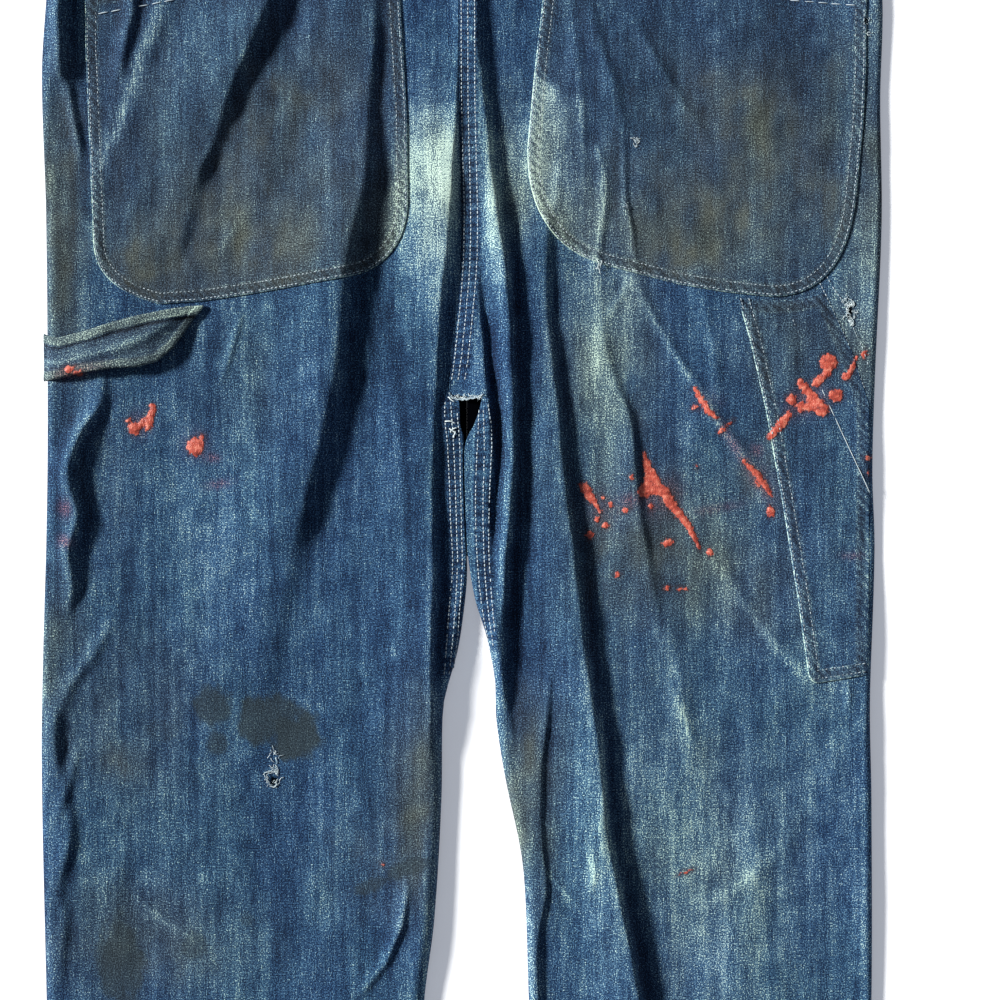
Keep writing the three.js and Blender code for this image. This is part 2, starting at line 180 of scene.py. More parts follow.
# Each fold: crest x(y), height h(y), reach of its gentle left flank, reach of its steep right flank
FOLDS = [
    # left leg, from the hip pocket's inner corner down to the knee
    (Along((290, -63), (234, -64), (171, -69), (140, -72), (97, -82), (5, -93), (-39, -102), (-77, -113),
           (-189, -136), (-300, -150), (-760, -168)),
     Along((290, 2), (250, 5), (234, 6.5), (203, 6), (171, 10), (130, 13), (97, 15), (5, 15), (-39, 12.5),
           (-77, 11.5), (-99, 8.5), (-117, 4.5), (-189, 1.5), (-240, 0)),
     36, Along((290, 5), (203, 6), (171, 9), (97, 12), (-99, 11), (-240, 8))),
    # left seat, rolling down to the centre-back seam, then beside the left inseam
    (Along((240, -6), (203, -5.5), (171, -6.5), (14, -19), (-17, -21), (-175, -22), (-240, -24),
           (-427, -38), (-760, -64)),
     Along((250, 0), (225, 2.5), (203, 5.5), (171, 6.5), (140, 7.5), (94, 8.5), (61, 8.5), (27, 7), (5, 5.5),
           (-17, 4.5), (-50, 5.5), (-80, 7), (-112, 8.5), (-143, 10), (-175, 10.5), (-206, 7), (-238, 4),
           (-260, 1.5), (-330, 0)), 28, 4),
    # ridge to the right of the centre-back seam
    (Along((273, 9), (231, 11), (171, 17), (108, 26), (45, 32), (5, 34), (-63, 33.5), (-207, 27.5),
           (-300, 54), (-427, 66), (-760, 82)),
     Along((345, 2.5), (273, 5), (231, 7), (171, 8.5), (140, 9.5), (117, 12), (83, 13), (50, 13),
           (-100, 12), (-147, 9.5), (-182, 7), (-207, 4), (-225, 0)),
     Along((300, 14), (100, 12), (20, 9), (-40, 6), (-140, 7), (-207, 10)), 5),
    # left inseam's felled band on the right leg, standing above the valley beside it
    (Along((100, 10), (45, 12), (-35, 20.5), (-49, 20.5), (-80, 17.5), (-112, 18.5), (-180, 24), (-230, 27)),
     Along((95, 0), (62, 4), (45, 6.5), (14, 7.5), (-7, 9), (-17, 10), (-30, 9), (-49, 5.5), (-80, 4.5),
           (-112, 3), (-147, 3), (-195, 0)), 13, 2.8),
    # long fold down the right leg from the hip pocket's inner corner
    (Along((140, 58), (90, 57), (45, 59), (-17, 65.5), (-112, 76), (-238, 92), (-333, 104), (-427, 123),
           (-600, 147), (-760, 165)),
     Along((135, 0), (106, 5), (16, 7), (-28, 8), (-77, 10), (-278, 12.5), (-334, 13), (-378, 13),
           (-427, 12.5), (-550, 9), (-650, 6), (-760, 3)), 24, 5),
    # short crease beside it
    (Along((80, 93), (45, 97), (25, 100), (2, 108), (-20, 115.5), (-59, 119.4), (-79, 122), (-123, 129),
           (-175, 136)),
     Along((80, 0), (45, 1.5), (25, 2.2), (2, 2.6), (-17, 3.8), (-45, 4.5), (-79, 3.8), (-123, 3),
           (-150, 1.5), (-175, 0)), 14, 4.2),
    # diagonal crease over the left hip pocket
    (Along((290, -131), (266, -140), (234, -152.5), (203, -165.5), (171, -176.5), (150, -186),
           (108, -196), (87, -203)),
     Along((290, 14), (262, 12.5), (234, 10.5), (203, 9), (184, 6), (171, 5.5), (158, 6.5), (144, 4),
           (134, 2), (120, 2), (108, 3), (98, 2), (85, 0)),
     28, Along((290, 15), (262, 12), (234, 9), (150, 6))),
    # roll along the upper part of the left side
    (Along((300, -281), (220, -281), (206, -274), (164, -265), (110, -262)),
     Along((330, 0), (273, 12.5), (243, 11.5), (224, 8), (214, 2), (205, 0)), 7, 6),
    # wavy crease along the left leg's outer edge
    (Along((20, -252), (-10, -254), (-31, -267), (-56, -275), (-87, -268), (-112, -274),
           (-140, -273), (-190, -284), (-228, -285), (-262, -283), (-280, -280), (-296, -274),
           (-318, -275), (-345, -281), (-372, -279), (-420, -283)),
     Along((18, 0), (-10, 5), (-31, 9), (-56, 10), (-87, 9), (-112, 8), (-140, 5), (-168, 0),
           (-210, 0), (-228, 3), (-250, 4.6), (-268, 2.4), (-280, 1.0), (-298, 2.6), (-318, 4),
           (-345, 3), (-360, 1.6), (-385, 2.4), (-420, 0)), 9, 4.2),
    # wavy crease near the right leg's inner edge
    (Along((-200, 60), (-222, 59), (-278, 54), (-323, 54.5), (-350, 58), (-378, 53), (-427, 52),
           (-520, 57), (-600, 70)),
     Along((-190, 0), (-222, 3), (-278, 3), (-323, 2.6), (-350, 3), (-378, 3.2), (-427, 3.2),
           (-520, 2), (-600, 0)), 13, 2.4),
    # its short neighbour at the leg's edge
    (Along((-196, 29), (-224, 31.5), (-262, 36)), Along((-196, 0), (-215, 1.6), (-262, 0)), 8, 2.2),
]

# Worn creases: route, height, half-width, and how pale the crest is, from wear and, on two lit ridges over
# the left hip pocket, from painted highlight
CREASES = [
    ([(120, 79), (133, 52), (151, 21), (164.5, 3), (182, -26), (200, -48), (211, -69)], 1.9, 6, 0.16),
    ([(95, 168), (99, 150), (99.5, 128), (95, 99), (92, 84)], 1.8, 5, 0.24),
    ([(113, 170), (114, 130), (118, 112), (122, 84)], 2.0, 2.4, 0.03),
    ([(88, 272), (96, 240), (107, 206), (113, 178)], 2.4, 7, 0.0),
    ([(117, 262), (130, 240), (140, 222), (156, 196), (170, 176)], 2.0, 6, 0.0),
    ([(76, 272), (80, 230), (84, 190), (86, 140)], 1.2, 5, 0.1),
    ([(68, 170), (66, 130), (72, 108)], 0.8, 4, 0.1),
    ([(176, -118), (198, -150), (220, -178), (243, -206)], 1.2, 8, 0.14),
    ([(225, -320), (190, -350), (164, -366)], 0.7, 8, 0.08),
    ([(269, -206), (270, -214), (269, -224)], 1.5, 3, 0.0),
    ([(-38.5, -345), (-42.7, -374), (-54, -400), (-70, -420)], 3.4, 4.5, 0.1),
    ([(-246, -164), (-260, -188), (-274, -206), (-284, -232)], 2.8, 7, 0.05),
    ([(-268, -250), (-276, -280), (-284, -300)], 2.0, 5, 0.04),
    ([(-226, -356), (-206, -372), (-186, -384)], 1.0, 5, 0.1),
    ([(-276, 214), (-273, 196), (-267, 164)], 3.2, 4, 0.04),
    ([(-230, 290), (-231, 264), (-238, 232), (-240, 222)], 5, 6.5, 0.05),
    ([(-155, 52), (-161, 30), (-168, 8)], 1.8, 3, 0.03),
    ([(90, -318), (92, -336), (88, -352)], 1.2, 4, 0.16),
    ([(99, -275), (96, -303), (99, -332)], 1.0, 3.5, 0.08),
    ([(150, -214), (156, -231), (160, -246)], 0.8, 5, 0.18),
    ([(100, 49), (108, 62), (117, 78)], 1.0, 4, 0.12),
    ([(-78, 66), (-74, 50), (-66, 30), (-62, 8)], 1.2, 7, 0.06),
    ([(-60, 60), (-52, 20), (-46, -30), (-44, -90)], 1.4, 10, 0.08),
    ([(-160, 52), (-150, 10), (-146, -40)], 0.9, 12, 0.05),
    ([(168, 62), (176, 30), (179, -10)], 0.9, 6, 0.04),
    # painted highlight: a bright lit ridge over the left hip pocket
    ([(-206, 285), (-214, 255), (-230, 210), (-238, 183), (-250, 158)], 1.8, 13, 0.34),
    ([(-193, 240), (-197, 210), (-204, 180)], 0.8, 10, 0.08),
    ([(17, 58), (24, 36), (30, 12)], 1.6, 4, 0.0),
    ([(19, 32), (26, 12), (31, -2)], 1.4, 3.5, 0.0),
    ([(-106, 270), (-112, 230), (-124, 190), (-134, 150)], 1.2, 14, 0.06),
    # painted highlight: a short lit ridge low on the left hip pocket
    ([(-176, 92), (-163, 108), (-150, 129)], 1.4, 8, 0.12),
    ([(-262, 120), (-254, 96), (-250, 80)], 1.2, 6, 0.1),
    ([(-250, -268), (-240, -320), (-246, -380)], 1.1, 14, 0.05),
    ([(200, -290), (206, -350), (196, -420)], 1.3, 16, 0.05),
    ([(140, -150), (150, -200), (168, -290)], 1.2, 12, 0.05),
    ([(58, -336), (66, -345), (78, -358), (84, -368)], 0.5, 2.5, 0.16),
    ([(56, -300), (64, -308)], 0.4, 2, 0.14),
]

# Felled seams: their rows of stitches as x(y) curves
CENTRE_ROWS = [
    Along((345, -1.2 + d), (273, -1 + d), (200, -0.7 + d), (98, 0.8 + d), (27, -5 + d), (2, -8.6 + d))
    for d in (0.0, 4.6, 9.4)
]
LEFT_INSEAM_ROWS = [
    Along((-7, -12.4), (-23, -12.4), (-35, -10.9), (-70, -9.1), (-93, -8.4), (-122, -7), (-150, -9.2),
          (-178, -11.2), (-204, -13.2)),
    Along((-7, -8.6), (-35, -6.6), (-70, -5), (-101, -4.2), (-122, -3.6), (-164, -6), (-202, -9.8)),
    Along((-12, -4.2), (-35, -2.3), (-70, -1.4), (-101, -0.7), (-122, -0.3), (-168, -3.2), (-200, -7)),
]
RIGHT_INSEAM_ROWS = [
    Along((-13, 11.6), (-35, 10.5), (-70, 9.1), (-111, 9.8), (-150, 13.3), (-186, 20)),
    Along((-10, 14.3), (-40, 15.2), (-79, 14.3), (-111, 14.8), (-150, 17.4), (-180, 21.6)),
    Along((-9, 17.6), (-31, 20.3), (-71, 18.9), (-111, 18.3), (-147, 20.5), (-172, 22.6)),
]
OUTSEAM_ROWS = [
    Along((78, 248.5), (73.5, 250.6), (62, 256), (43, 264.6), (28.7, 271), (10.5, 277), (-4, 283.2)),
    Along((80, 254.5), (70, 260), (61, 266.5), (40.6, 274), (28.7, 279.6), (12, 285)),
]


def edge_roll(d, radius):
    """Height of cloth that rolls over an edge at d = 0 and settles further in."""
    radius = np.maximum(radius, 0.4)
    d = np.maximum(d, 0)
    arc = radius * np.sqrt(1 - (1 - np.minimum(d / radius, 1)) ** 2)
    return arc * (0.4 + 0.6 * np.exp(-np.maximum(d - radius, 0) / 26))


def tapered(share):
    """1 in the middle of a crease, falling steeply at its ends."""
    return np.sqrt(np.sin(np.pi * np.clip(share * 0.9 + 0.05, 0, 1)))


def crease_height(x, y):
    total = np.zeros(x.shape)
    for route, height, width, _ in CREASES:
        signed, share = to_route(x, y, route)
        reach = np.where(signed < 0, width, 0.6 * width)
        ends = tapered(share)
        total += height * ends * np.exp(-((signed / reach) ** 2))
    return total


def seam_relief(x, y, side):
    """Felled bands with their sunken rows of stitches and the puckers between them."""
    if side < 0:
        bands = [(LEFT_INSEAM_ROWS, -6, -204, 1.8)]
    else:
        bands = [(CENTRE_ROWS, 345, 0, 1.6), (RIGHT_INSEAM_ROWS, -10, -190, 1.7)]
    total = np.zeros(x.shape)
    for rows, top, foot, margin in bands:
        within = smoothstep(foot, foot + 14, y) * (1 - smoothstep(top - 2, top + 2, y))
        first, last = rows[0](y), rows[-1](y)
        band = plateau(x, first - margin, last + margin, 1.1)
        pucker = np.sin(y * math.tau / 7.2 + 1.5 * ripple(x, y, 40, 1, 3))
        pucker = pucker * (0.6 + 0.4 * ripple(x, y, 25, 1, 4))
        total += within * band * (0.75 + 0.28 * pucker)
        for row in rows:
            total -= within * 0.4 * np.exp(-(((x - row(y)) / 0.8) ** 2))
    return total


def back_surface(x, y, side):
    """Height of the outer face of the back cloth, side -1 for the left panel and 1 for the right."""
    x, y = np.broadcast_arrays(np.asarray(x, float), np.asarray(y, float))
    outer = x - left_side(y) if side < 0 else right_side(y) - x
    inner = left_inner(y) - x if side < 0 else x - right_inner(y)
    leg = 1 - smoothstep(-190, -100, y)
    calm = 1 - 0.85 * smoothstep(WAIST_Y - 40, WAIST_Y + 60, y)
    still = 1 - np.exp(-np.maximum(outer, 0) / 5)
    z = edge_roll(outer, (5.5 if side < 0 else 5.0) + 0.8 * ripple(x, y, 90, 1, 11))
    z = z + edge_roll(inner, (8.5 if side < 0 else 5.5) * leg)
    for k, (crest, height, lee, drop) in enumerate(FOLDS):
        wander = 0.5 * np.sin(y / 19 + 2 * k) + 0.25 * np.sin(y / 7.3 + k)
        s = x - crest(y) - wander
        lee, drop = (flank(y) if callable(flank) else flank for flank in (lee, drop))
        reach = np.where(s < 0, lee, drop)
        z = z + np.maximum(height(y), 0) * still * np.exp(-((s / reach) ** 2))
    z = z + crease_height(x, y) * still
    soft = 0.9 * ripple(x, y, 85, 2.2, 21) + 0.35 * ripple(x, y, 30, 1.8, 22)
    soft = soft + 0.12 * ripple(x, y, 11, 1.6, 23)
    z = z + soft * still * smoothstep(0, 12, np.maximum(inner, 12 * (y > -100)))
    return RIM_Z + z * calm + seam_relief(x, y, side) + 0.5 * plateau(y, HEM_Y, HEM_Y + 13, 1.5)


# ---------------------------------------------------------------- wear, dirt, paint, painted shade and painted highlight

# Soft areas: x, y, half-width, half-height, turn in degrees, amount
FADES = [
    (-18, 156, 16, 36, 2, 0.14), (-30, 80, 16, 34, 8, 0.12), (20, 120, 9, 60, -8, 0.12),
    (70, 95, 22, 70, -6, 0.1), (108, 25, 20, 60, -10, 0.07), (-24, 250, 20, 40, 0, 0.02),
    (60, -180, 24, 90, -6, -0.14), (170, -330, 110, 130, 0, 0.10), (278, 80, 18, 60, 0, 0.1),
    (-285, -60, 14, 260, 0, -0.08), (190, 0, 60, 60, 0, -0.05), (-200, 0, 60, 60, 0, -0.02),
    (-190, -100, 60, 70, 0, 0.06), (-70, -150, 45, 150, 6, -0.07), (-200, -360, 90, 50, 0, -0.03),
    (100, 20, 30, 70, -10, 0.06), (88, -20, 10, 120, -6, 0.06), (150, -290, 50, 120, 8, 0.05),
    (271, -186, 15, 8, 0, 0.16), (90, -336, 3.5, 16, 8, 0.14), (97, -300, 3, 38, 0, 0.08),
    (156, -231, 6, 22, 5, 0.08), (37, -262, 9, 26, 14, 0.2), (30, 40, 14, 60, -6, -0.12),
    (236, -196, 8, 12, 40, 0.16),
    (-60, 30, 30, 60, 0, -0.1), (-38, -60, 14, 120, 0, -0.05), (50, -60, 16, 130, -4, -0.03),
]
POCKET_FADES = [
    (62, 225, 12, 50, 0, 0.05), (120, 120, 40, 40, 0, 0.08), (-44, 125, 8, 52, 0, 0.38),
    (52, 120, 6, 50, 0, 0.12), (-240, 108, 10, 22, -20, 0.12), (-256, 165, 9, 90, 0, 0.14),
    (276, 190, 9, 90, 0, 0.09),
    (-170, 110, 60, 40, 0, 0.06), (-100, 110, 40, 30, 0, 0.05), (230, 110, 40, 30, 0, 0.06),
    (-55, 110, 10, 22, 0, 0.12), (-180, 244, 44, 40, 0, 0.13), (-110, 150, 30, 40, -20, 0.06),
    (-200, 140, 34, 40, 0, 0.05), (-90, 190, 24, 50, 12, 0.03), (180, 90, 70, 20, 4, 0.06),
    (210, 240, 60, 30, 0, -0.06), (255, -120, 16, 60, 2, 0.03), (250, 30, 20, 30, 30, -0.05),
]
SOILS = [
    (-277, 115, 15, 80, 0, 0.55), (-30, -290, 13, 60, 0, 0.42), (38, -285, 13, 62, -8, 0.6),
    (-238, -260, 11, 12, 0, 0.5), (-215, -395, 60, 22, 0, 0.22), (-250, -60, 22, 60, 0, 0.14),
    (110, 0, 26, 60, 0, 0.16), (120, -150, 40, 90, 0, 0.12), (276, 120, 12, 90, 0, 0.3),
    (-60, -330, 40, 40, 0, 0.16), (252, -170, 20, 30, 0, 0.12), (96, -120, 12, 40, 0, 0.2),
    (150, -110, 44, 30, -30, 0.3), (205, -60, 22, 24, -30, 0.3), (256, -2, 22, 22, 0, 0.25),
]
POCKET_SOILS = [
    (-222, 88, 26, 24, 0, 0.55), (-146, 182, 18, 26, 0, 0.3), (-150, 110, 60, 40, 0, 0.32),
    (150, 120, 80, 46, 0, 0.28), (192, 126, 26, 22, 0, 0.5), (150, 94, 26, 13, 0, 0.5),
    (212, 202, 22, 22, -30, 0.3), (180, 212, 30, 12, -25, 0.24), (262, 228, 12, 30, 0, 0.3),
    (210, 170, 60, 26, -30, 0.3), (258, 128, 14, 26, 0, 0.36), (-70, 180, 20, 60, 0, 0.14),
    (52, 135, 7, 60, 0, 0.2), (-120, 210, 30, 8, -30, 0.25),
    (-170, 130, 12, 50, -10, 0.25), (-130, 96, 30, 16, 0, 0.3), (-100, 205, 14, 30, -20, 0.2),
]
# Where age has turned the blue to olive
OLIVES = [
    (-18, 150, 22, 50, 0, 0.42), (36, 150, 16, 50, 0, 0.4), (100, 30, 34, 74, -10, 0.42),
    (288, 160, 16, 90, 0, 0.6), (265, 30, 30, 40, 30, 0.5), (225, 30, 30, 26, 0, 0.4),
    (-284, 120, 16, 100, 0, 0.6), (-284, -190, 16, 60, 0, 0.4), (-34, -280, 16, 60, 0, 0.6),
    (40, -290, 14, 60, -8, 0.5), (180, -130, 60, 30, -30, 0.4), (-230, -230, 50, 60, 0, 0.25),
    (-230, -380, 60, 40, 0, 0.35), (240, -60, 26, 120, 8, 0.25), (130, -100, 60, 60, 0, 0.25),
    (170, -330, 70, 100, 0, 0.2), (-150, 10, 40, 60, 0, 0.12), (60, -300, 10, 80, -6, 0.3),
]
POCKET_OLIVES = [
    (150, 110, 90, 46, 0, 0.4), (215, 190, 60, 40, -30, 0.4), (60, 150, 24, 60, 0, 0.35),
    (-150, 110, 100, 46, 0, 0.42), (-45, 118, 12, 50, 0, 0.4), (-220, 200, 40, 50, 0, 0.15),
    (-110, 200, 30, 40, -20, 0.3), (230, 30, 40, 30, 0, 0.3),
]
# Oily dark stains with a fairly crisp edge
STAINS = [
    (-175, -221, 15, 14, 0, 0.8), (-172, -247, 7, 9, 0, 0.65), (-142, -231, 18, 17, 0, 0.9),
    (-117, -242, 19, 17, 20, 1.0), (-130, -227, 20, 14, 0, 0.85), (-238, -400, 17, 32, 6, 0.75),
    (-187, -388, 9, 10, 0, 0.5), (-37, -333, 17, 6, 20, 0.65), (-64, -346, 15, 5, 24, 0.6),
    (-151, -370, 5, 5, 0, 0.4), (-210, -238, 12, 8, 0, 0.3),
]
NO_PAINT = -20.0  # depth where there is no paint nearby
# Paint: spots x, y, half-width, half-height, turn in degrees; strokes x, y, x, y, start and end width
PAINT_SPOTS = [
    (255.5, 19, 6.5, 6.3, 20), (247, 5, 3.2, 3.6, 30), (230, -7, 3.4, 4.4, 20), (260.5, -4, 5.4, 4.6, 0),
    (267.5, 9.5, 3.4, 3.2, 0), (281, 25.5, 2.2, 3.0, 0), (283.5, -47.5, 2.6, 1.8, 0),
    (-220.5, -26, 2.4, 2.2, 0), (-187.5, -39.5, 6, 6.6, 0), (-183, -33, 2.2, 2.6, 0),
    (-274, 14, 3.6, 2.6, 20), (-268, 11.5, 3, 2, 10), (-230, -27, 4.6, 4.6, -30), (-234, -22, 2.2, 2, 0),
    (143.5, -107, 4.2, 2.8, 20), (131.5, -81.5, 1.6, 2.4, 0), (113, -84, 3, 1.8, 10),
    (98, -75.5, 1.8, 1.6, 0), (103, -80.5, 2, 2.2, 0), (94, -90.5, 2, 2.4, 0), (100, -95, 2.6, 2.2, 0),
    (89, -101.5, 3, 3.2, 0),
    (108, -129.5, 2.2, 2, 0), (143, -138.5, 2.2, 1.8, 0), (164, -54, 1.2, 1.4, 0), (156, -337, 4, 1.3, 20),
    (173, -114, 2.4, 3.2, 0), (128, -70, 6, 5, 40), (163, -12, 2.6, 1.8, 20), (171, -12, 1.8, 1.6, 0),
    (283.5, -58, 1, 1.6, 0), (-56, -331, 1.4, 1.4, 0), (181, -29, 2.4, 1.6, 40), (215.5, -85, 3, 4.2, 0),
    (118, -61, 2, 2, 0), (206, -66, 2.4, 1.6, -40), (236, -14, 2.4, 2.2, 0), (243, -9, 3.4, 2.6, 0),
]
PAINT_STROKES = [
    (126.5, -44, 133, -66, 1.0, 6.2), (134, -68, 142, -72, 5, 3.6), (143, -76, 158, -95, 3.6, 2.6),
    (158, -95, 165.5, -111, 2.6, 1.2), (236, 5, 251, -14, 2.6, 4.6), (236, -10.5, 252, -14, 2.4, 4),
    (270, 11, 276, 24, 2.4, 0.8), (224, -22, 215, -33, 3.6, 2.4), (228, -17, 220, -26, 2.4, 2),
    (162, 1, 172, -15, 1.6, 2.6), (172, -15, 178.5, -20, 2.2, 1), (197, -50, 207, -60, 1.4, 2.6),
    (207, -60, 215.6, -73, 2.4, 1.6), (-217, -12, -220, -24, 2.6, 3), (-222, -20, -229, -29, 2, 2.6),
    (85, -68, 90, -76, 3.6, 3.4), (90, -74, 96, -86, 2, 1.2), (180, -29, 189, -21, 1.4, 1),
    (151, -139, 157, -139, 1.2, 0.8), (255, 12, 248, 6, 2.6, 2.8),
]
# Thin, rubbed-in smears of the same paint
SMEARS = [
    (-175.5, -47.6, 5, 3, 0, 0.5), (-171, -66, 9, 3, 10, 0.45), (-277, -83, 5, 6, 0, 0.5),
    (-276.5, -106, 5, 4, 0, 0.7), (-274, 12, 10, 4, 15, 0.5), (206, -42, 4, 4, 0, 0.5),
    (117, -77, 7, 4, 0, 0.5), (177, -83, 18, 3, 10, 0.3), (272, -116, 8, 2.5, 0, 0.4),
    (188, -36, 3, 16, 32, 0.5), (204, -60, 3, 16, 32, 0.5), (-262, 14, 16, 3, 12, 0.35),
    (240, -8, 14, 9, 20, 0.45), (140, -75, 14, 10, 40, 0.4), (-226, -24, 8, 9, 0, 0.35),
    (208, -62, 8, 16, 30, 0.3), (-188, -38, 9, 9, 0, 0.3), (98, -84, 12, 12, 0, 0.2), (172, -8, 9, 8, 0, 0.2),
]
# Frayed holes, shown as marks of painted shade on whole cloth: x, y, half-width, half-height
HOLES = [(-132.5, -273, 3.4, 5.0), (120.5, 174, 1.6, 1.3), (114.3, 126.7, 1.0, 1.2),
         (271, 54, 2.6, 6.5), (281.5, 258, 1.2, 3.0)]


def seat_fade(x, y):
    """The seat has worn pale below a level line, most of all beside the centre-back seam."""
    line = 202 + 2.5 * ripple(x, y, 28, 1, 65)
    below = 0.45 * (1 - smoothstep(line - 5, line + 3, y)) + 0.55 * (1 - smoothstep(line - 42, line - 4, y))
    down = smoothstep(20, 165, y)
    left = plateau(x, -44, -5, 5) * 0.37
    right = plateau(x, 22, 44, 8) * 0.2
    return below * down * (left + right) * (1 + 0.14 * ripple(x, y, 22, 2, 66))


def pocket_fade(x, y):
    """The right hip pocket has faded beside the seat, below a line that slants down to the right."""
    line = 221 - 0.55 * (x - 52) + 2 * ripple(x, y, 24, 1, 67)
    beside = np.exp(-(((x - 52) / 32) ** 2)) * smoothstep(60, 130, y)
    return 0.3 * beside * (1 - smoothstep(line - 5, line + 4, y)) * (1 + 0.3 * ripple(x, y, 14, 4, 68))


def soft_areas(x, y, areas):
    total = np.zeros(x.shape)
    for *oval, amount in areas:
        u, v = in_oval(x, y, *oval)
        total += amount * np.exp(-(u * u + v * v))
    return total


def stain_field(x, y):
    """How dark the oily stains are, with a slightly ragged edge."""
    edge = 0.16 * ripple(x, y, 14, 1, 31) + 0.08 * ripple(x, y, 5, 1, 32)
    most = np.zeros(x.shape)
    for *oval, amount in STAINS:
        u, v = in_oval(x, y, *oval)
        most = np.maximum(most, amount * (1 - smoothstep(0.75, 1.15, np.hypot(u, v) + edge)))
    return most


def paint_depth(x, y):
    """Distance inside the paint's edge, in mm, negative outside it."""
    depth = np.full(x.shape, NO_PAINT)
    for cx, cy, rx, ry, turn in PAINT_SPOTS:
        u, v = in_oval(x, y, cx, cy, rx, ry, turn)
        depth = np.maximum(depth, (1 - np.hypot(u, v)) * min(rx, ry))
    for ax, ay, bx, by, start, end in PAINT_STROKES:
        length = math.hypot(bx - ax, by - ay)
        ux, uy = (bx - ax) / length, (by - ay) / length
        t = np.clip(((x - ax) * ux + (y - ay) * uy) / length, 0, 1)
        d = np.hypot(x - ax - t * length * ux, y - ay - t * length * uy)
        depth = np.maximum(depth, start + (end - start) * t - d)
    return depth + 0.5 * ripple(x, y, 5.5, 1, 41)


def wear_and_highlight_field(x, y):
    """How pale the creases are along their crests: worn, with painted highlight on two lit ridges."""
    total = np.zeros(x.shape)
    for route, _, width, pale in CREASES:
        if pale == 0:
            continue
        signed, share = to_route(x, y, route)
        total += pale * tapered(share) * np.exp(-(((signed + 0.2 * width) / (0.42 * width)) ** 2))
    return total


def hole_shade_field(x, y):
    """1 inside the frayed holes, which are dark marks of painted shade on whole cloth."""
    most = np.zeros(x.shape)
    for cx, cy, rx, ry in HOLES:
        r = np.hypot((x - cx) / rx, (y - cy) / ry) + 0.2 * ripple(x, y, 4, 1, 51)
        most = np.maximum(most, 1 - smoothstep(0.5, 1.0, r))
    return most


def base_fields(x, y, fade_and_shade, fades, soils, soil=0.0, olives=(), olive=0.0):
    tone = fade_and_shade + soft_areas(x, y, fades) + 0.05 * ripple(x, y, 60, 3.5, 61) + 0.035 * ripple(x, y, 14, 9, 62)
    return {
        "fade_and_shade": tone + 0.03 * ripple(x, y, 22, 1, 63),
        "soil": np.clip(soil + soft_areas(x, y, soils) * (1 + 0.4 * ripple(x, y, 18, 1.5, 64)), 0, 1),
        "olive": np.clip(olive + soft_areas(x, y, olives) * (1 + 0.4 * ripple(x, y, 34, 1.8, 69)), 0, 1),
        "stain": stain_field(x, y),
        "wear_and_highlight": wear_and_highlight_field(x, y),
        "paint": paint_depth(x, y),
        "smear": np.clip(soft_areas(x, y, SMEARS), 0, 1),
        "hole_shade": hole_shade_field(x, y),
    }


def plain_fields(x, fade_and_shade, soil=0.0):
    zero = np.zeros(len(x))
    return {"fade_and_shade": zero + fade_and_shade, "soil": zero + soil, "olive": zero, "stain": zero, "wear_and_highlight": zero,
            "paint": zero + NO_PAINT, "smear": zero, "hole_shade": zero}


# ---------------------------------------------------------------- materials

class Tree:
    """Short calls to build a material's nodes."""

    def __init__(self, name):
        self.material = bpy.data.materials.new(name)
        self.material.use_nodes = True
        self.nodes = self.material.node_tree.nodes
        self.links = self.material.node_tree.links
        self.shader = self.nodes["Principled BSDF"]

    def feed(self, socket, value):
        if isinstance(value, bpy.types.NodeSocket):
            self.links.new(value, socket)
        elif hasattr(value, "__len__") and len(value) == 3 and socket.type == "RGBA":
            socket.default_value = (*value, 1)
        else:
            socket.default_value = value

    def attribute(self, name, output="Fac"):
        node = self.nodes.new("ShaderNodeAttribute")
        node.attribute_name = name
        return node.outputs[output]

    def math(self, operation, a, b=0.0):
        node = self.nodes.new("ShaderNodeMath")
        node.operation = operation
        self.feed(node.inputs[0], a)
        self.feed(node.inputs[1], b)
        return node.outputs[0]

    def scaled(self, vector, scale):
        node = self.nodes.new("ShaderNodeVectorMath")
        node.operation = "MULTIPLY"
        self.feed(node.inputs[0], vector)
        self.feed(node.inputs[1], scale)
        return node.outputs[0]

    def noise(self, vector, scale, detail=2.0, rough=0.5):
        node = self.nodes.new("ShaderNodeTexNoise")
        self.feed(node.inputs["Vector"], self.scaled(vector, scale))
        node.inputs["Scale"].default_value = 1.0
        node.inputs["Detail"].default_value = detail
        node.inputs["Roughness"].default_value = rough
        return node.outputs["Fac"]

    def remap(self, value, low, high, to_low=0.0, to_high=1.0):
        node = self.nodes.new("ShaderNodeMapRange")
        self.feed(node.inputs["Value"], value)
        for key, v in (("From Min", low), ("From Max", high), ("To Min", to_low), ("To Max", to_high)):
            node.inputs[key].default_value = v
        return node.outputs["Result"]

    def mix(self, share, a, b, blend="MIX"):
        node = self.nodes.new("ShaderNodeMix")
        node.data_type = "RGBA"
        node.blend_type = blend
        self.feed(node.inputs["Factor"], share)
        self.feed(node.inputs[6], a)
        self.feed(node.inputs[7], b)
        return node.outputs[2]

    def ramp(self, value, stops):
        node = self.nodes.new("ShaderNodeValToRGB")
        self.feed(node.inputs[0], value)
        elements = node.color_ramp.elements
        while len(elements) < len(stops):
            elements.new(0.5)
        for element, (position, colour) in zip(elements, stops):
            element.position = position
            element.color = (*colour, 1)
        return node.outputs[0]

    def bump(self, height, strength, distance, onto=None):
        node = self.nodes.new("ShaderNodeBump")
        node.inputs["Strength"].default_value = strength
        node.inputs["Distance"].default_value = distance
        self.feed(node.inputs["Height"], height)
        if onto is not None:
            self.feed(node.inputs["Normal"], onto)
        return node.outputs[0]


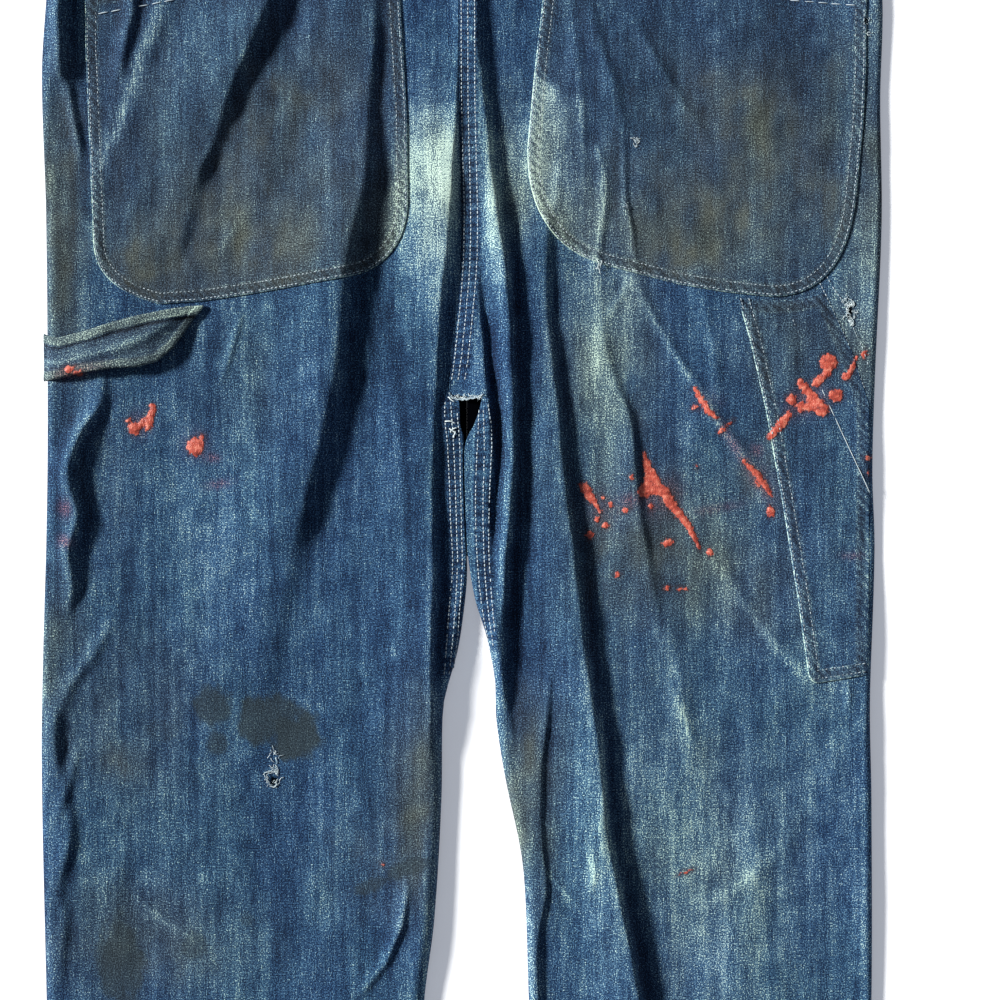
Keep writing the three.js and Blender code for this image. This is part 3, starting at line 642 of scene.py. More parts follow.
INDIGO = [
    (0.0, (0.0015, 0.005, 0.018)), (0.25, (0.0045, 0.016, 0.053)), (0.45, (0.0115, 0.042, 0.115)),
    (0.62, (0.027, 0.084, 0.19)), (0.78, (0.068, 0.165, 0.285)), (0.9, (0.19, 0.33, 0.42)),
    (1.0, (0.43, 0.59, 0.58)),
]

PAINT_COAT = [(0.3, (0.20, 0.032, 0.026)), (0.5, (0.46, 0.07, 0.042)), (0.68, (0.66, 0.21, 0.14))]


def denim(name):
    """Indigo twill: slubby warp streaks, pale weft specks, dirt, oil, worn crests with some painted
    highlight, painted shade in holes, and dried paint.
    """
    t = Tree(name)
    cloth = t.attribute("weave", "Vector")
    speck = t.noise(cloth, (1350, 1050, 1), 1.0, 0.5)
    fleck = t.noise(cloth, (860, 1150, 1), 1.0, 0.5)
    streak = t.noise(cloth, (1000, 75, 1), 2.0, 0.55)
    slub = t.noise(cloth, (200, 9, 1), 2.0, 0.5)
    weft = t.noise(cloth, (70, 1100, 1), 1.0, 0.5)
    patchy = t.noise(cloth, (55, 40, 1), 3.0, 0.6)
    tone = t.math("ADD", t.attribute("fade_and_shade"), t.remap(speck, 0.35, 0.68, -0.24, 0.26))
    tone = t.math("ADD", tone, t.remap(t.math("MULTIPLY", fleck, speck), 0.31, 0.44, 0.0, 0.16))
    tone = t.math("ADD", tone, t.remap(streak, 0.3, 0.7, -0.13, 0.13))
    tone = t.math("ADD", tone, t.remap(slub, 0.3, 0.7, -0.09, 0.09))
    tone = t.math("ADD", tone, t.remap(weft, 0.3, 0.7, -0.05, 0.05))
    tone = t.math("ADD", tone, t.remap(patchy, 0.3, 0.7, -0.06, 0.06))
    # pale crests: wear, with painted highlight on lit ridges
    wear_and_highlight = t.math("MULTIPLY", t.attribute("wear_and_highlight"), t.remap(streak, 0.3, 0.7, 0.5, 1.5))
    tone = t.math("ADD", tone, wear_and_highlight)
    colour = t.ramp(tone, INDIGO)
    cast = t.remap(t.noise(cloth, (16, 8, 1), 2.0, 0.5), 0.38, 0.62)
    colour = t.mix(cast, colour, t.mix(1.0, colour, (1.02, 1.03, 0.92), "MULTIPLY"))
    grey = t.nodes.new("ShaderNodeRGBToBW")
    t.feed(grey.inputs[0], colour)
    olive = t.mix(1.0, grey.outputs[0], (0.98, 1.24, 1.0), "MULTIPLY")
    colour = t.mix(t.attribute("olive"), colour, olive)
    texture = t.remap(speck, 0.3, 0.72, 0.62, 1.5)
    dirt = t.mix(t.remap(texture, 0.6, 1.5), (0.009, 0.015, 0.013), (0.16, 0.175, 0.14))
    soil = t.math("MULTIPLY", t.attribute("soil"), t.remap(patchy, 0.3, 0.7, 0.35, 0.95))
    colour = t.mix(soil, colour, dirt)
    oil = t.mix(t.remap(texture, 0.6, 1.5), (0.009, 0.017, 0.023), (0.042, 0.057, 0.06))
    colour = t.mix(t.math("MULTIPLY", t.attribute("stain"), 0.86), colour, oil)
    colour = t.mix(1.0, colour, t.remap(speck, 0.36, 0.66, 0.73, 1.22), "MULTIPLY")
    # painted shade: near black inside the holes and under the gap at the crotch
    colour = t.mix(t.attribute("hole_shade"), colour, (0.0008, 0.001, 0.0018))
    # dried paint: broken at its edge by the weave, thin where it was rubbed in
    grain = t.remap(t.noise(cloth, (420, 340, 1), 3.0, 0.6), 0.3, 0.7, -1.1, 1.1)
    depth = t.math("ADD", t.attribute("paint"), grain)
    solid = t.remap(depth, -0.1, 0.5)
    rubbed = t.math("MULTIPLY", t.attribute("smear"), t.remap(speck, 0.48, 0.62))
    cover = t.math("MAXIMUM", solid, t.math("MULTIPLY", rubbed, 0.75))
    mottle = t.noise(cloth, (260, 260, 1), 3.0, 0.6)
    coat = t.ramp(mottle, PAINT_COAT)
    halo = t.math("MULTIPLY", t.remap(depth, -2.6, 0.0), 0.5)
    colour = t.mix(halo, colour, (0.035, 0.02, 0.022))
    colour = t.mix(cover, colour, coat)
    t.feed(t.shader.inputs["Base Color"], colour)
    t.feed(t.shader.inputs["Roughness"], t.remap(solid, 0, 1, 0.93, 0.42))
    # no shine or sheen on that painted shade
    shine = t.math("MULTIPLY", t.remap(solid, 0, 1, 0.1, 0.5), t.remap(t.attribute("hole_shade"), 0, 0.6, 1, 0))
    t.feed(t.shader.inputs["Specular IOR Level"], shine)
    t.feed(t.shader.inputs["Sheen Weight"], t.remap(t.attribute("hole_shade"), 0, 1, 0.04, 0))
    twill = t.bump(speck, 0.55, 0.0007)
    ribs = t.bump(streak, 0.35, 0.0005, twill)
    body = t.math("ADD", t.attribute("paint"), t.remap(mottle, 0.3, 0.7, -0.5, 0.5))
    dome = t.math("POWER", t.remap(body, -0.3, 2.8), 0.5)
    t.feed(t.shader.inputs["Normal"], t.bump(dome, 0.8, 0.0013, ribs))
    return t.material


def thread_material(name, pale, dirty):
    t = Tree(name)
    place = t.nodes.new("ShaderNodeTexCoord").outputs["Object"]
    varied = t.remap(t.noise(place, (300, 300, 300), 2), 0.3, 0.7, -0.2, 0.2)
    tone = t.math("ADD", t.attribute("tone"), varied)
    t.feed(t.shader.inputs["Base Color"], t.ramp(tone, [(0.0, dirty), (1.0, pale)]))
    t.shader.inputs["Roughness"].default_value = 0.85
    t.feed(t.shader.inputs["Normal"], t.bump(t.noise(place, (2500, 900, 900), 1), 0.4, 0.0002))
    return t.material


def metal_material(name):
    t = Tree(name)
    place = t.nodes.new("ShaderNodeTexCoord").outputs["Object"]
    rub = t.noise(place, (160, 160, 160), 4, 0.65)
    t.feed(t.shader.inputs["Base Color"], t.ramp(rub, [(0.3, (0.16, 0.11, 0.06)), (0.7, (0.52, 0.42, 0.26))]))
    t.feed(t.shader.inputs["Roughness"], t.remap(rub, 0.3, 0.7, 0.6, 0.32))
    t.shader.inputs["Metallic"].default_value = 0.95
    t.feed(t.shader.inputs["Normal"], t.bump(rub, 0.2, 0.0003))
    return t.material


def floor_material():
    t = Tree("floor_paper")
    place = t.nodes.new("ShaderNodeTexCoord").outputs["Object"]
    grain = t.noise(place, (60, 60, 60), 3)
    paper = t.ramp(grain, [(0.3, (0.80, 0.81, 0.83)), (0.7, (0.83, 0.84, 0.86))])
    t.feed(t.shader.inputs["Base Color"], paper)
    t.shader.inputs["Roughness"].default_value = 0.9
    # the floor glows faintly bluish: painted light that keeps its shadows pale
    t.shader.inputs["Emission Color"].default_value = (0.86, 0.9, 1.0, 1)
    t.shader.inputs["Emission Strength"].default_value = 0.3
    return t.material


DENIM = denim("denim_worn")
THREAD = thread_material("thread_cream", (0.50, 0.60, 0.66), (0.10, 0.14, 0.16))
FRAY = thread_material("thread_frayed", (0.66, 0.76, 0.78), (0.10, 0.18, 0.26))
METAL = metal_material("metal_dull")


# ---------------------------------------------------------------- meshes

def make_mesh(name, points, faces, material, fields=None, weave=None):
    """A smooth-shaded mesh from points in millimetres, with named values at its points."""
    mesh = bpy.data.meshes.new(name)
    placed = (np.asarray(points, float) + SHIFT) * MM
    mesh.from_pydata(placed.tolist(), [], faces)
    mesh.materials.append(material)
    mesh.shade_smooth()
    for key, values in (fields or {}).items():
        layer = mesh.attributes.new(key, "FLOAT", "POINT")
        layer.data.foreach_set("value", np.ascontiguousarray(values, np.float32))
    if weave is not None:
        layer = mesh.attributes.new("weave", "FLOAT_VECTOR", "POINT")
        layer.data.foreach_set("vector", np.ascontiguousarray(weave * MM, np.float32).ravel())
    mesh.update()
    obj = bpy.data.objects.new(name, mesh)
    bpy.context.scene.collection.objects.link(obj)
    return obj


def settle(obj, slot, *nodes):
    """obj rides on the garment's one body and stands for CAD nodes, which it hides. The slot is not used."""
    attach(obj, "root")
    if nodes:
        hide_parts(*nodes)
    return obj


def shell(top, bottom_step, thickness, lowest=0.0, keep=()):
    """A closed sheet: a fine outer face, and an inner face of every bottom_step-th row and column.

    The rows in "keep" stay in the inner face too. Returns points, faces and the flat indices of the
    outer points that each point goes with.
    """
    ny, nx, _ = top.shape
    rows = sorted({*range(0, ny, bottom_step), ny - 1, *keep})
    cols = sorted({*range(0, nx, bottom_step), nx - 1})
    inner = top[np.ix_(rows, cols)].copy()
    row_ends, col_ends = [rows[0], *rows, rows[-1]], [cols[0], *cols, cols[-1]]
    for j in range(len(rows)):
        for i in range(len(cols)):
            around = top[row_ends[j]:row_ends[j + 2] + 1, col_ends[i]:col_ends[i + 2] + 1, 2]
            inner[j, i, 2] = max(around.min() - thickness, lowest)
    index = np.arange(ny * nx).reshape(ny, nx)
    under = ny * nx + np.arange(len(rows) * len(cols)).reshape(len(rows), len(cols))
    quads = np.stack([index[:-1, :-1], index[1:, :-1], index[1:, 1:], index[:-1, 1:]], -1)
    back = np.stack([under[:-1, :-1], under[:-1, 1:], under[1:, 1:], under[1:, :-1]], -1)
    faces = quads.reshape(-1, 4).tolist() + back.reshape(-1, 4).tolist()
    for a, b, i in zip(cols[:-1], cols[1:], range(len(cols))):
        faces.append(index[0, a:b + 1].tolist() + [int(under[0, i + 1]), int(under[0, i])])
        faces.append(index[-1, a:b + 1][::-1].tolist() + [int(under[-1, i]), int(under[-1, i + 1])])
    for a, b, j in zip(rows[:-1], rows[1:], range(len(rows))):
        faces.append(index[a:b + 1, 0][::-1].tolist() + [int(under[j, 0]), int(under[j + 1, 0])])
        faces.append(index[a:b + 1, -1].tolist() + [int(under[j + 1, -1]), int(under[j, -1])])
    source = np.concatenate([index.ravel(), index[np.ix_(rows, cols)].ravel()])
    return np.concatenate([top.reshape(-1, 3), inner.reshape(-1, 3)]), faces, source


def taken(fields, source):
    """The fields of the outer points, given to every point of a shell."""
    return {key: values[source] for key, values in fields.items()}


def crest_fade_and_trough_shade(x, y, side):
    """How far the cloth stands above what is beside it: crests are lighter and troughs darker, partly faded
    dye and partly painted shade in the troughs and painted highlight on the crests.
    """
    reach = 7.0
    beside = back_surface(x - reach, y, side) + back_surface(x + reach, y, side)
    return np.clip(0.035 * (back_surface(x, y, side) - beside / 2), -0.16, 0.12)


def beside_seam(y, side):
    """The panel's inner edge as it was before the crotch tore."""
    if side < 0:
        return left_inner(y)
    share = np.clip(-y / 33, 0, 1)
    seam, inseam = left_inner(np.maximum(y, 0)) + SEAM_GAP, right_inseam(np.minimum(y, -33))
    return seam + (inseam - seam) * share


PANEL_COLUMNS = 183  # of points across a back panel


def back_panel(side):
    """One back panel, from the hem to the high back."""
    rows = np.concatenate([
        np.arange(BACK_TOP_Y, 285, -4.0), np.arange(285, 0, -2.0), np.linspace(0, CROTCH_TEAR[1], 5),
        np.arange(-7.5, -440, -2.0), np.linspace(-440, HEM_Y, 65),
    ])
    torn_rows = np.flatnonzero((rows < 6) & (rows > -14))
    arc = 5 * (1 - np.cos(np.linspace(0, math.pi / 2, 8)))
    fine = np.array([0, 0.15, 0.5, 1.0, 1.7, 2.5, 3.4, 4.4, 5.4, 6.4, 7.4, 8.5, 9.7, 11, 12.4, 13.8])
    fine = np.concatenate([fine, np.arange(15.2, 30, 1.3)])
    outer, inner = (left_side, left_inner) if side < 0 else (right_side, right_inner)
    y = rows[:, None]
    x_out, x_in = outer(y), inner(y)
    middle = np.linspace(0, 1, PANEL_COLUMNS - len(arc) - len(fine) + 2)[None, 1:-1]
    a, b = x_out - side * arc[-1], beside_seam(y, side) + side * fine[-1]
    seam_columns = x_in + (b - x_in) * fine[::-1] / fine[-1]
    x = np.concatenate([x_out - side * arc, a + (b - a) * middle, seam_columns], 1)
    if side > 0:
        x = x[:, ::-1]
    y = np.broadcast_to(y, x.shape)
    z = back_surface(x, y, side)
    top = np.stack([x, y, z], -1)
    points, faces, source = shell(top, 6, CLOTH, 1.6, torn_rows)
    fx, fy = x.ravel(), y.ravel()
    fields = base_fields(fx, fy, 0.5, FADES, SOILS, 0.03, OLIVES, 0.06)
    # crests lighter and troughs darker: fading, with painted shade in the troughs and painted highlight on
    # the crests
    fields["fade_and_shade"] = fields["fade_and_shade"] + crest_fade_and_trough_shade(fx, fy, side) + seat_fade(fx, fy)
    rubbed = 0.14 * np.exp(-((fx - inner(fy)) / 3.0) ** 2) * (fy < -160)
    seam_rows = [LEFT_INSEAM_ROWS] if side < 0 else [CENTRE_ROWS, RIGHT_INSEAM_ROWS]
    for lines in seam_rows:
        foot, top_end = lines[0].y[0], lines[0].y[-1]
        inside = plateau(fx, lines[0](fy) - 1.5, lines[-1](fy) + 1.5, 1)
        inside = inside * smoothstep(foot, foot + 12, fy) * (fy <= top_end + 4)
        rope = np.sin(fy * math.tau / 6.6 + 2 * ripple(fx, fy, 30, 1, 71))
        rubbed = rubbed + inside * (0.16 * rope - 0.18)
    fields["fade_and_shade"] = fields["fade_and_shade"] + rubbed
    fields = taken(fields, source)
    obj = make_mesh("back_panel_" + hand(side), points, faces, DENIM, fields, points * [1, 1, 0])
    return settle(obj, "denim_back", "back_" + hand(side))


def resample(loop, spacing):
    """A closed outline's points, evenly spaced."""
    loop = np.vstack([loop, loop[:1]])
    run = distances_along(loop)
    at = np.linspace(0, run[-1], int(run[-1] / spacing) + 1)[:-1]
    return np.stack([np.interp(at, run, loop[:, 0]), np.interp(at, run, loop[:, 1])], -1)


def rounded(corners):
    """A closed outline through (x, y) corners. A corner given as (x, y, x, y) is a round one,
    with its control point first and its end second."""
    points = [np.array(corners[0][:2], float)]
    for corner in corners[1:]:
        end = np.array(corner[-2:], float)
        if len(corner) == 4:
            control, start = np.array(corner[:2], float), points[-1]
            for t in np.linspace(0, 1, 14)[1:]:
                points.append((1 - t) ** 2 * start + 2 * t * (1 - t) * control + t * t * end)
        else:
            points.append(end)
    return np.array(points)


def inward(loop):
    """Directions into a closed outline, one for each of its points."""
    tangent = np.roll(loop, -2, 0) - np.roll(loop, 2, 0)
    tangent /= np.linalg.norm(tangent, axis=1, keepdims=True)
    area = np.sum(loop[:, 0] * np.roll(loop[:, 1], -1) - np.roll(loop[:, 0], -1) * loop[:, 1])
    return np.stack([-tangent[:, 1], tangent[:, 0]], -1) * np.sign(area)


def distance_to_loop(xy, loop):
    best = np.full(len(xy), FAR)
    ends = np.roll(loop, -1, 0)
    for a, b in zip(loop, ends):
        ab = b - a
        t = np.clip(((xy - a) @ ab) / (ab @ ab), 0, 1)
        best = np.minimum(best, np.hypot(*(xy - a - t[:, None] * ab).T))
    return best


def inside_loop(xy, loop):
    inside = np.zeros(len(xy), bool)
    for (ax, ay), (bx, by) in zip(loop, np.roll(loop, -1, 0)):
        crosses = (ay > xy[:, 1]) != (by > xy[:, 1])
        if crosses.any():
            inside ^= crosses & (xy[:, 0] < (bx - ax) * (xy[:, 1] - ay) / (by - ay + 1e-12) + ax)
    return inside


def filled_outline(corners, spacing=2.1, insets=(0.18, 0.6, 1.3, 2.3, 3.5, 5, 6.6, 8.2, 10)):
    """Points and triangles that fill an outline, finest along its edge, with each point's distance in."""
    loop = resample(rounded(corners), 1.7)
    n = inward(loop)
    rings = [loop] + [loop + n * d for d in insets]
    lo, hi = loop.min(0), loop.max(0)
    gx, gy = np.meshgrid(np.arange(lo[0], hi[0], spacing), np.arange(lo[1], hi[1], spacing * 0.87))
    gx[1::2] += spacing / 2
    lattice = np.stack([gx.ravel(), gy.ravel()], -1)
    lattice = lattice[inside_loop(lattice, loop)]
    lattice = lattice[distance_to_loop(lattice, loop) > insets[-1] + 0.6 * spacing]
    everything = np.vstack([*rings, lattice])
    inside = inside_loop(everything[len(loop):], loop)
    everything = everything[np.concatenate([np.ones(len(loop), bool), inside])]
    border = [(i, (i + 1) % len(loop)) for i in range(len(loop))]
    points, _, triangles, *_ = delaunay_2d_cdt([Vector(p) for p in everything], border, [], 1, 1e-4)
    points = np.array([tuple(p) for p in points])
    triangles = np.array([tuple(f) for f in triangles])
    a, b, c = (points[triangles[:, k]] for k in range(3))
    turn = (b - a)[:, 0] * (c - a)[:, 1] - (b - a)[:, 1] * (c - a)[:, 0]
    triangles[turn < 0] = triangles[turn < 0][:, ::-1]
    return points, triangles, distance_to_loop(points, loop)


def closed_patch(points, triangles, top, bottom):
    """A closed sheet over a flat triangulation: outer face, inner face and the wall round the edge."""
    n = len(points)
    edges = np.vstack([triangles[:, [0, 1]], triangles[:, [1, 2]], triangles[:, [2, 0]]])
    key = np.sort(edges, 1)
    _, first, count = np.unique(key, axis=0, return_index=True, return_counts=True)
    rim = edges[first[count == 1]]
    faces = triangles.tolist() + (triangles[:, ::-1] + n).tolist()
    faces += [[int(b), int(a), int(a) + n, int(b) + n] for a, b in rim]
    upper = np.column_stack([points, top])
    lower = np.column_stack([points, bottom])
    return np.vstack([upper, lower]), faces


POCKET_HEIGHT = 1.8  # of a pocket's folded edge above its panel
POCKET_ROWS = (1.7, 7.4)  # distance of its rows of stitches from the edge


def pocket_relief(d, x, y, hem=0.0):
    """Height over the panel: a rounded double edge, sunken stitch rows, and a slightly slack middle."""
    edge = POCKET_HEIGHT * np.sqrt(1 - (1 - np.minimum(d / 1.1, 1)) ** 2)
    pucker = np.sin(math.tau * (x + y) / 7.5 + 2 * ripple(x, y, 30, 1, 81)) * np.exp(-((d - 5.5) / 4) ** 2)
    rows = sum(np.exp(-(((d - row) / 0.9) ** 2)) for row in POCKET_ROWS)
    slack = smoothstep(9, 30, d) * (0.5 + 0.5 * ripple(x, y, 55, 1.6, 82) + 0.15 * ripple(x, y, 16, 1.3, 83))
    turned_in = 0.35 * plateau(d, 0, 9, 1.2)
    return edge * 0.72 + turned_in + 0.25 * pucker - 0.4 * rows + slack + hem


HIP_LEFT = [
    (-264, 277), (-264, 238), (-260, 147), (-258, 100), (-255, 70, -212, 60), (-183, 62), (-123, 70.7),
    (-89, 76), (-39, 85, -38, 132), (-39, 195), (-46, 308),
]
HIP_RIGHT = [
    (56.5, 300), (56, 273), (49.5, 217), (45, 168), (45, 103, 99, 87.5), (151, 74), (182, 68.6),
    (217, 65), (268, 66, 275, 134), (280, 183), (282, 228), (282, 280),
]
RULE = [
    (192.5, 64.5), (201.6, 32), (212, -14), (223.3, -77), (233.8, -144), (241, -197),
    (242, -205, 248, -205), (283, -199), (284, -112), (284, -10), (272, 27), (257, 60),
    (252, 68.5), (236, 62.5, 217, 62.5),
]


def patch_pocket(name, node, corners, side, fade_and_shade, soil, hem_line=None, sewn_in=None):
    """A patch pocket that follows its panel's folds, flat along an edge that is sewn into a seam."""
    xy, triangles, d = filled_outline(corners)
    x, y = xy.T
    base = back_surface(x, y, side)
    rise = 1.0
    if sewn_in:
        rise = 0.25 + 0.75 * smoothstep(0, 10, np.abs(to_route(x, y, sewn_in)[0]))
    hem = 0.0
    if hem_line:
        (ax, ay), (bx, by) = hem_line
        below = ay + (by - ay) * (x - ax) / (bx - ax) - y
        hem = 0.5 * plateau(below, -1, 14, 1.5) - 0.3 * np.exp(-(((below - 13) / 0.9) ** 2))
    top = base + 0.2 + pocket_relief(d, x, y, hem) * rise
    points, faces = closed_patch(xy, triangles, top, base + 0.15)
    fields = base_fields(x, y, fade_and_shade, POCKET_FADES, POCKET_SOILS, soil, POCKET_OLIVES, 0.1)
    rope = np.sin(math.tau * (x + y) / 6.8 + 2 * ripple(x, y, 24, 1, 84))
    cords = 0.55 * np.exp(-((d / 0.8) ** 2)) + 0.2 * np.exp(-(((d - 2.7) / 0.6) ** 2))
    cords += 0.16 * np.exp(-(((d - 8.5) / 0.7) ** 2))
    edge_wear = cords * rise + plateau(d, 0, 8.5, 1.5) * (0.14 * rope - 0.06)
    # crests lighter and troughs darker: fading, with painted shade in the troughs and painted highlight on
    # the crests
    fields["fade_and_shade"] = fields["fade_and_shade"] + crest_fade_and_trough_shade(x, y, side) + edge_wear + pocket_fade(x, y)
    fields["soil"] = np.clip((fields["soil"] + 0.1 * plateau(d, 0, 9, 1.5)) * smoothstep(0.4, 1.6, d), 0, 1)
    fields["olive"] = np.clip(fields["olive"] + 0.14 * plateau(d, 0, 8.5, 1.5) * rise, 0, 1)
    fields = {k: np.tile(v, 2) for k, v in fields.items()}
    obj = make_mesh(name, points, faces, DENIM, fields, points * [1, 1, 0])
    return settle(obj, "denim_pocket", node)


# ---- hammer loop

LOOP_TOP = [(-293.5, 39.5), (-288, 37), (-281, 36), (-273, 38), (-258, 42), (-241, 47.5), (-222, 52.5),
            (-205, 56), (-190, 58.5), (-181, 59)]
LOOP_FOOT = [(-293.5, 6), (-281, 7.7), (-263, 12), (-245, 14.7), (-227, 15.6), (-213, 19.5), (-203, 28),
             (-195, 39), (-188, 50), (-182, 57)]
LOOP_LENGTH = 112.0


def along_line(line, share):
    """Points at shares of a line's length."""
    line = np.array(line, float)
    run = distances_along(line)
    return np.stack([np.interp(share * run[-1], run, line[:, k]) for k in (0, 1)], -1)


def hammer_loop():
    """A folded strip from the side seam to the pocket, standing off the leg between its ends."""
    u = np.linspace(0, 1, 97)
    v = np.linspace(0, 1, 29)
    top_line, foot_line = along_line(LOOP_TOP, u), along_line(LOOP_FOOT, u)
    xy = top_line[:, None] * (1 - v)[None, :, None] + foot_line[:, None] * v[None, :, None]
    x, y = xy[..., 0], xy[..., 1]
    uu = np.broadcast_to(u[:, None], x.shape)
    vv = np.broadcast_to(v[None], x.shape)
    width = np.linalg.norm(top_line - foot_line, axis=1)[:, None]
    from_top, from_foot = vv * width, (1 - vv) * width
    edge = np.minimum(from_top, from_foot)
    lift = 9.0 * np.sin(np.pi * uu) ** np.where(uu < 0.5, 0.8, 1.2)
    rounding = 1.1 * (np.sqrt(1 - (1 - np.minimum(edge / 1.2, 1)) ** 2) - 1)
    hems = 1.3 * plateau(from_top, 0, 6.3, 0.6) + 0.9 * plateau(from_foot, 0, 5.4, 0.6)
    ridge_at = np.interp(uu, [0.1, 0.45, 0.75, 1], [0.62, 0.55, 0.35, 0.2])
    ridge = 2.2 * np.exp(-(((vv - ridge_at) * width / 5.0) ** 2)) * np.sin(np.pi * np.clip(uu, 0, 1)) ** 0.6
    twist = 2.4 * (0.5 - vv) * np.sin(np.pi * uu)
    wave = 0.35 * ripple(x, y, 16, 1, 91)
    z = back_surface(x, y, -1) + 1.3 + lift + rounding + hems + ridge + twist + wave
    top = np.stack([x, y, z], -1).transpose(1, 0, 2)
    points, faces, source = shell(top, 2, CLOTH)
    flat = lambda a: np.ascontiguousarray(a.T).ravel()
    fields = base_fields(flat(x), flat(y), 0.49, [], [], 0.2, [], 0.35)
    hem_pale = plateau(flat(from_top), 0, 6.3, 0.8) * 0.2 + plateau(flat(from_foot), 0, 5.4, 0.8) * 0.12
    fields["olive"] = fields["olive"] + 0.3 * plateau(flat(edge), 0, 5.8, 0.8)
    # painted shadow: a dark line just below the top hem
    hem_shadow_line = 0.4 * np.exp(-(((flat(from_top) - 7.8) / 1.1) ** 2))
    crest = 0.2 * np.exp(-((flat((vv - ridge_at) * width) / 2.4) ** 2))
    fields["fade_and_shade"] = fields["fade_and_shade"] + hem_pale - hem_shadow_line + crest
    weave = np.column_stack([flat(vv * width)[source], flat(uu)[source] * LOOP_LENGTH, np.zeros(len(source))])
    obj = make_mesh("hammer_loop_strip", points, faces, DENIM, taken(fields, source), weave)
    return settle(obj, "denim_trim", "hammer_loop")


# ---- front panels, bib and straps

def front_panel(side):
    """A front panel lying face down, seen only through the torn crotch and from below."""
    y = np.concatenate([
        np.arange(WAIST_Y, 10, -12), np.arange(10, -140, -2.0), np.arange(-140, HEM_Y, -10), [HEM_Y],
    ])[:, None]
    if side < 0:
        inner = np.where(y > -128, 2.75, left_inner(y) - 1.2)
        outer = left_side(y) + 0.4
    else:
        inner = np.where(y > -118, 2.8, right_inner(y) + 1.2)
        outer = right_side(y) - 0.4
    share = np.concatenate([np.linspace(0, 0.1, 16), np.linspace(0.1, 1, 25)[1:]])
    x = inner + (outer - inner) * share
    if side < 0:
        x = x[:, ::-1]
    yy = np.broadcast_to(y, x.shape)
    z = 1.35 - 0.5 * np.exp(-np.abs(x - outer) / 0.8)
    top = np.stack([x, yy, z], -1)
    points, faces, source = shell(top, 3, 1.3, 0.0)
    points[x.size:, 2] = 0.02
    fields = plain_fields(x.ravel(), 0.4, 0.05)
    # painted shade: dark under the gap at the crotch
    fields["hole_shade"] = 1 - smoothstep(16, 26, np.hypot(x.ravel() - 4, 0.7 * (yy.ravel() + 18)))
    fields = taken(fields, source)
    obj = make_mesh("front_panel_" + hand(side), points, faces, DENIM, fields, points * [1, 1, 0])
    return settle(obj, "denim_front", "front_" + hand(side))


bib_half = Along((625, 124), (560, 128), (450, 136), (400, 143), (345, 150))


def bib_height(y):
    return 0.1 + 5.0 * smoothstep(535, 585, y)


def bib():
    """The bib, face down, with turned hems, its upper end lifted by the buckles under it."""
    y = np.linspace(BIB_TOP_Y, WAIST_Y + 0.4, 120)[:, None]
    share = np.linspace(-1, 1, 121)[None]
    half = bib_half(y)
    x = half * share
    yy = np.broadcast_to(y, x.shape)
    edge = np.minimum(half - np.abs(x), BIB_TOP_Y - yy)
    hem = 0.6 * plateau(edge, 0, 12, 1.2) - 0.3 * np.exp(-(((edge - 11) / 0.9) ** 2))
    rounding = np.sqrt(1 - (1 - np.minimum(edge / 1.0, 1)) ** 2) - 1
    z = bib_height(yy) + 1.0 + hem + 0.5 * rounding + 0.12 * ripple(x, yy, 40, 1, 95)
    top = np.stack([x, yy, z], -1)
    points, faces, source = shell(top, 4, 1.0, 0.02)
    fields = plain_fields(x.ravel(), 0.47, 0.06)
    fields["fade_and_shade"] = 0.47 + 0.05 * ripple(x, yy, 50, 2, 96).ravel() + 0.1 * np.exp(-(edge.ravel() / 1.6) ** 2)
    obj = make_mesh("bib_panel", points, faces, DENIM, taken(fields, source), points * [1, 1, 0])
    return settle(obj, "denim_front", "bib")


STRAP_WIDTH = 37.0
BUTTON = (105.0, 600.0)
BAR_Y, BAR_Z, WIRE = 640.0, 3.0, 1.2  # the buckle's bar, and the radius of its wire


def half_turn(y, z, radius, way, steps=12):
    """Points (y, z) half way round a bend, from its top to its foot."""
    a = np.pi * (0.5 - np.linspace(0, 1, steps)) * way
    return np.stack([y + way * radius * np.cos(a), z + radius * np.sin(a)], -1).tolist()


def strap_route():
    """Middle line (y, z) of a strap: over the back, round the shoulder fold, round the buckle's bar."""
    over = [
        (488, 5.2), (522, 5.2), (548, 5.4), (560, 6.2), (572, 7.2), (588, 7.6), (645, 7.6), (690, 6),
        (735, 5.2),
    ]
    shoulder = half_turn(760, 2.95, 2.2, 1)
    round_bar = half_turn(BAR_Y, BAR_Z, WIRE + 1.05, -1)
    end = [(650, 4.6), (662, 3.2), (672, 2.7), (695, 2.7)]
    return np.array(over + shoulder + round_bar + end), len(over) + len(shoulder) // 2


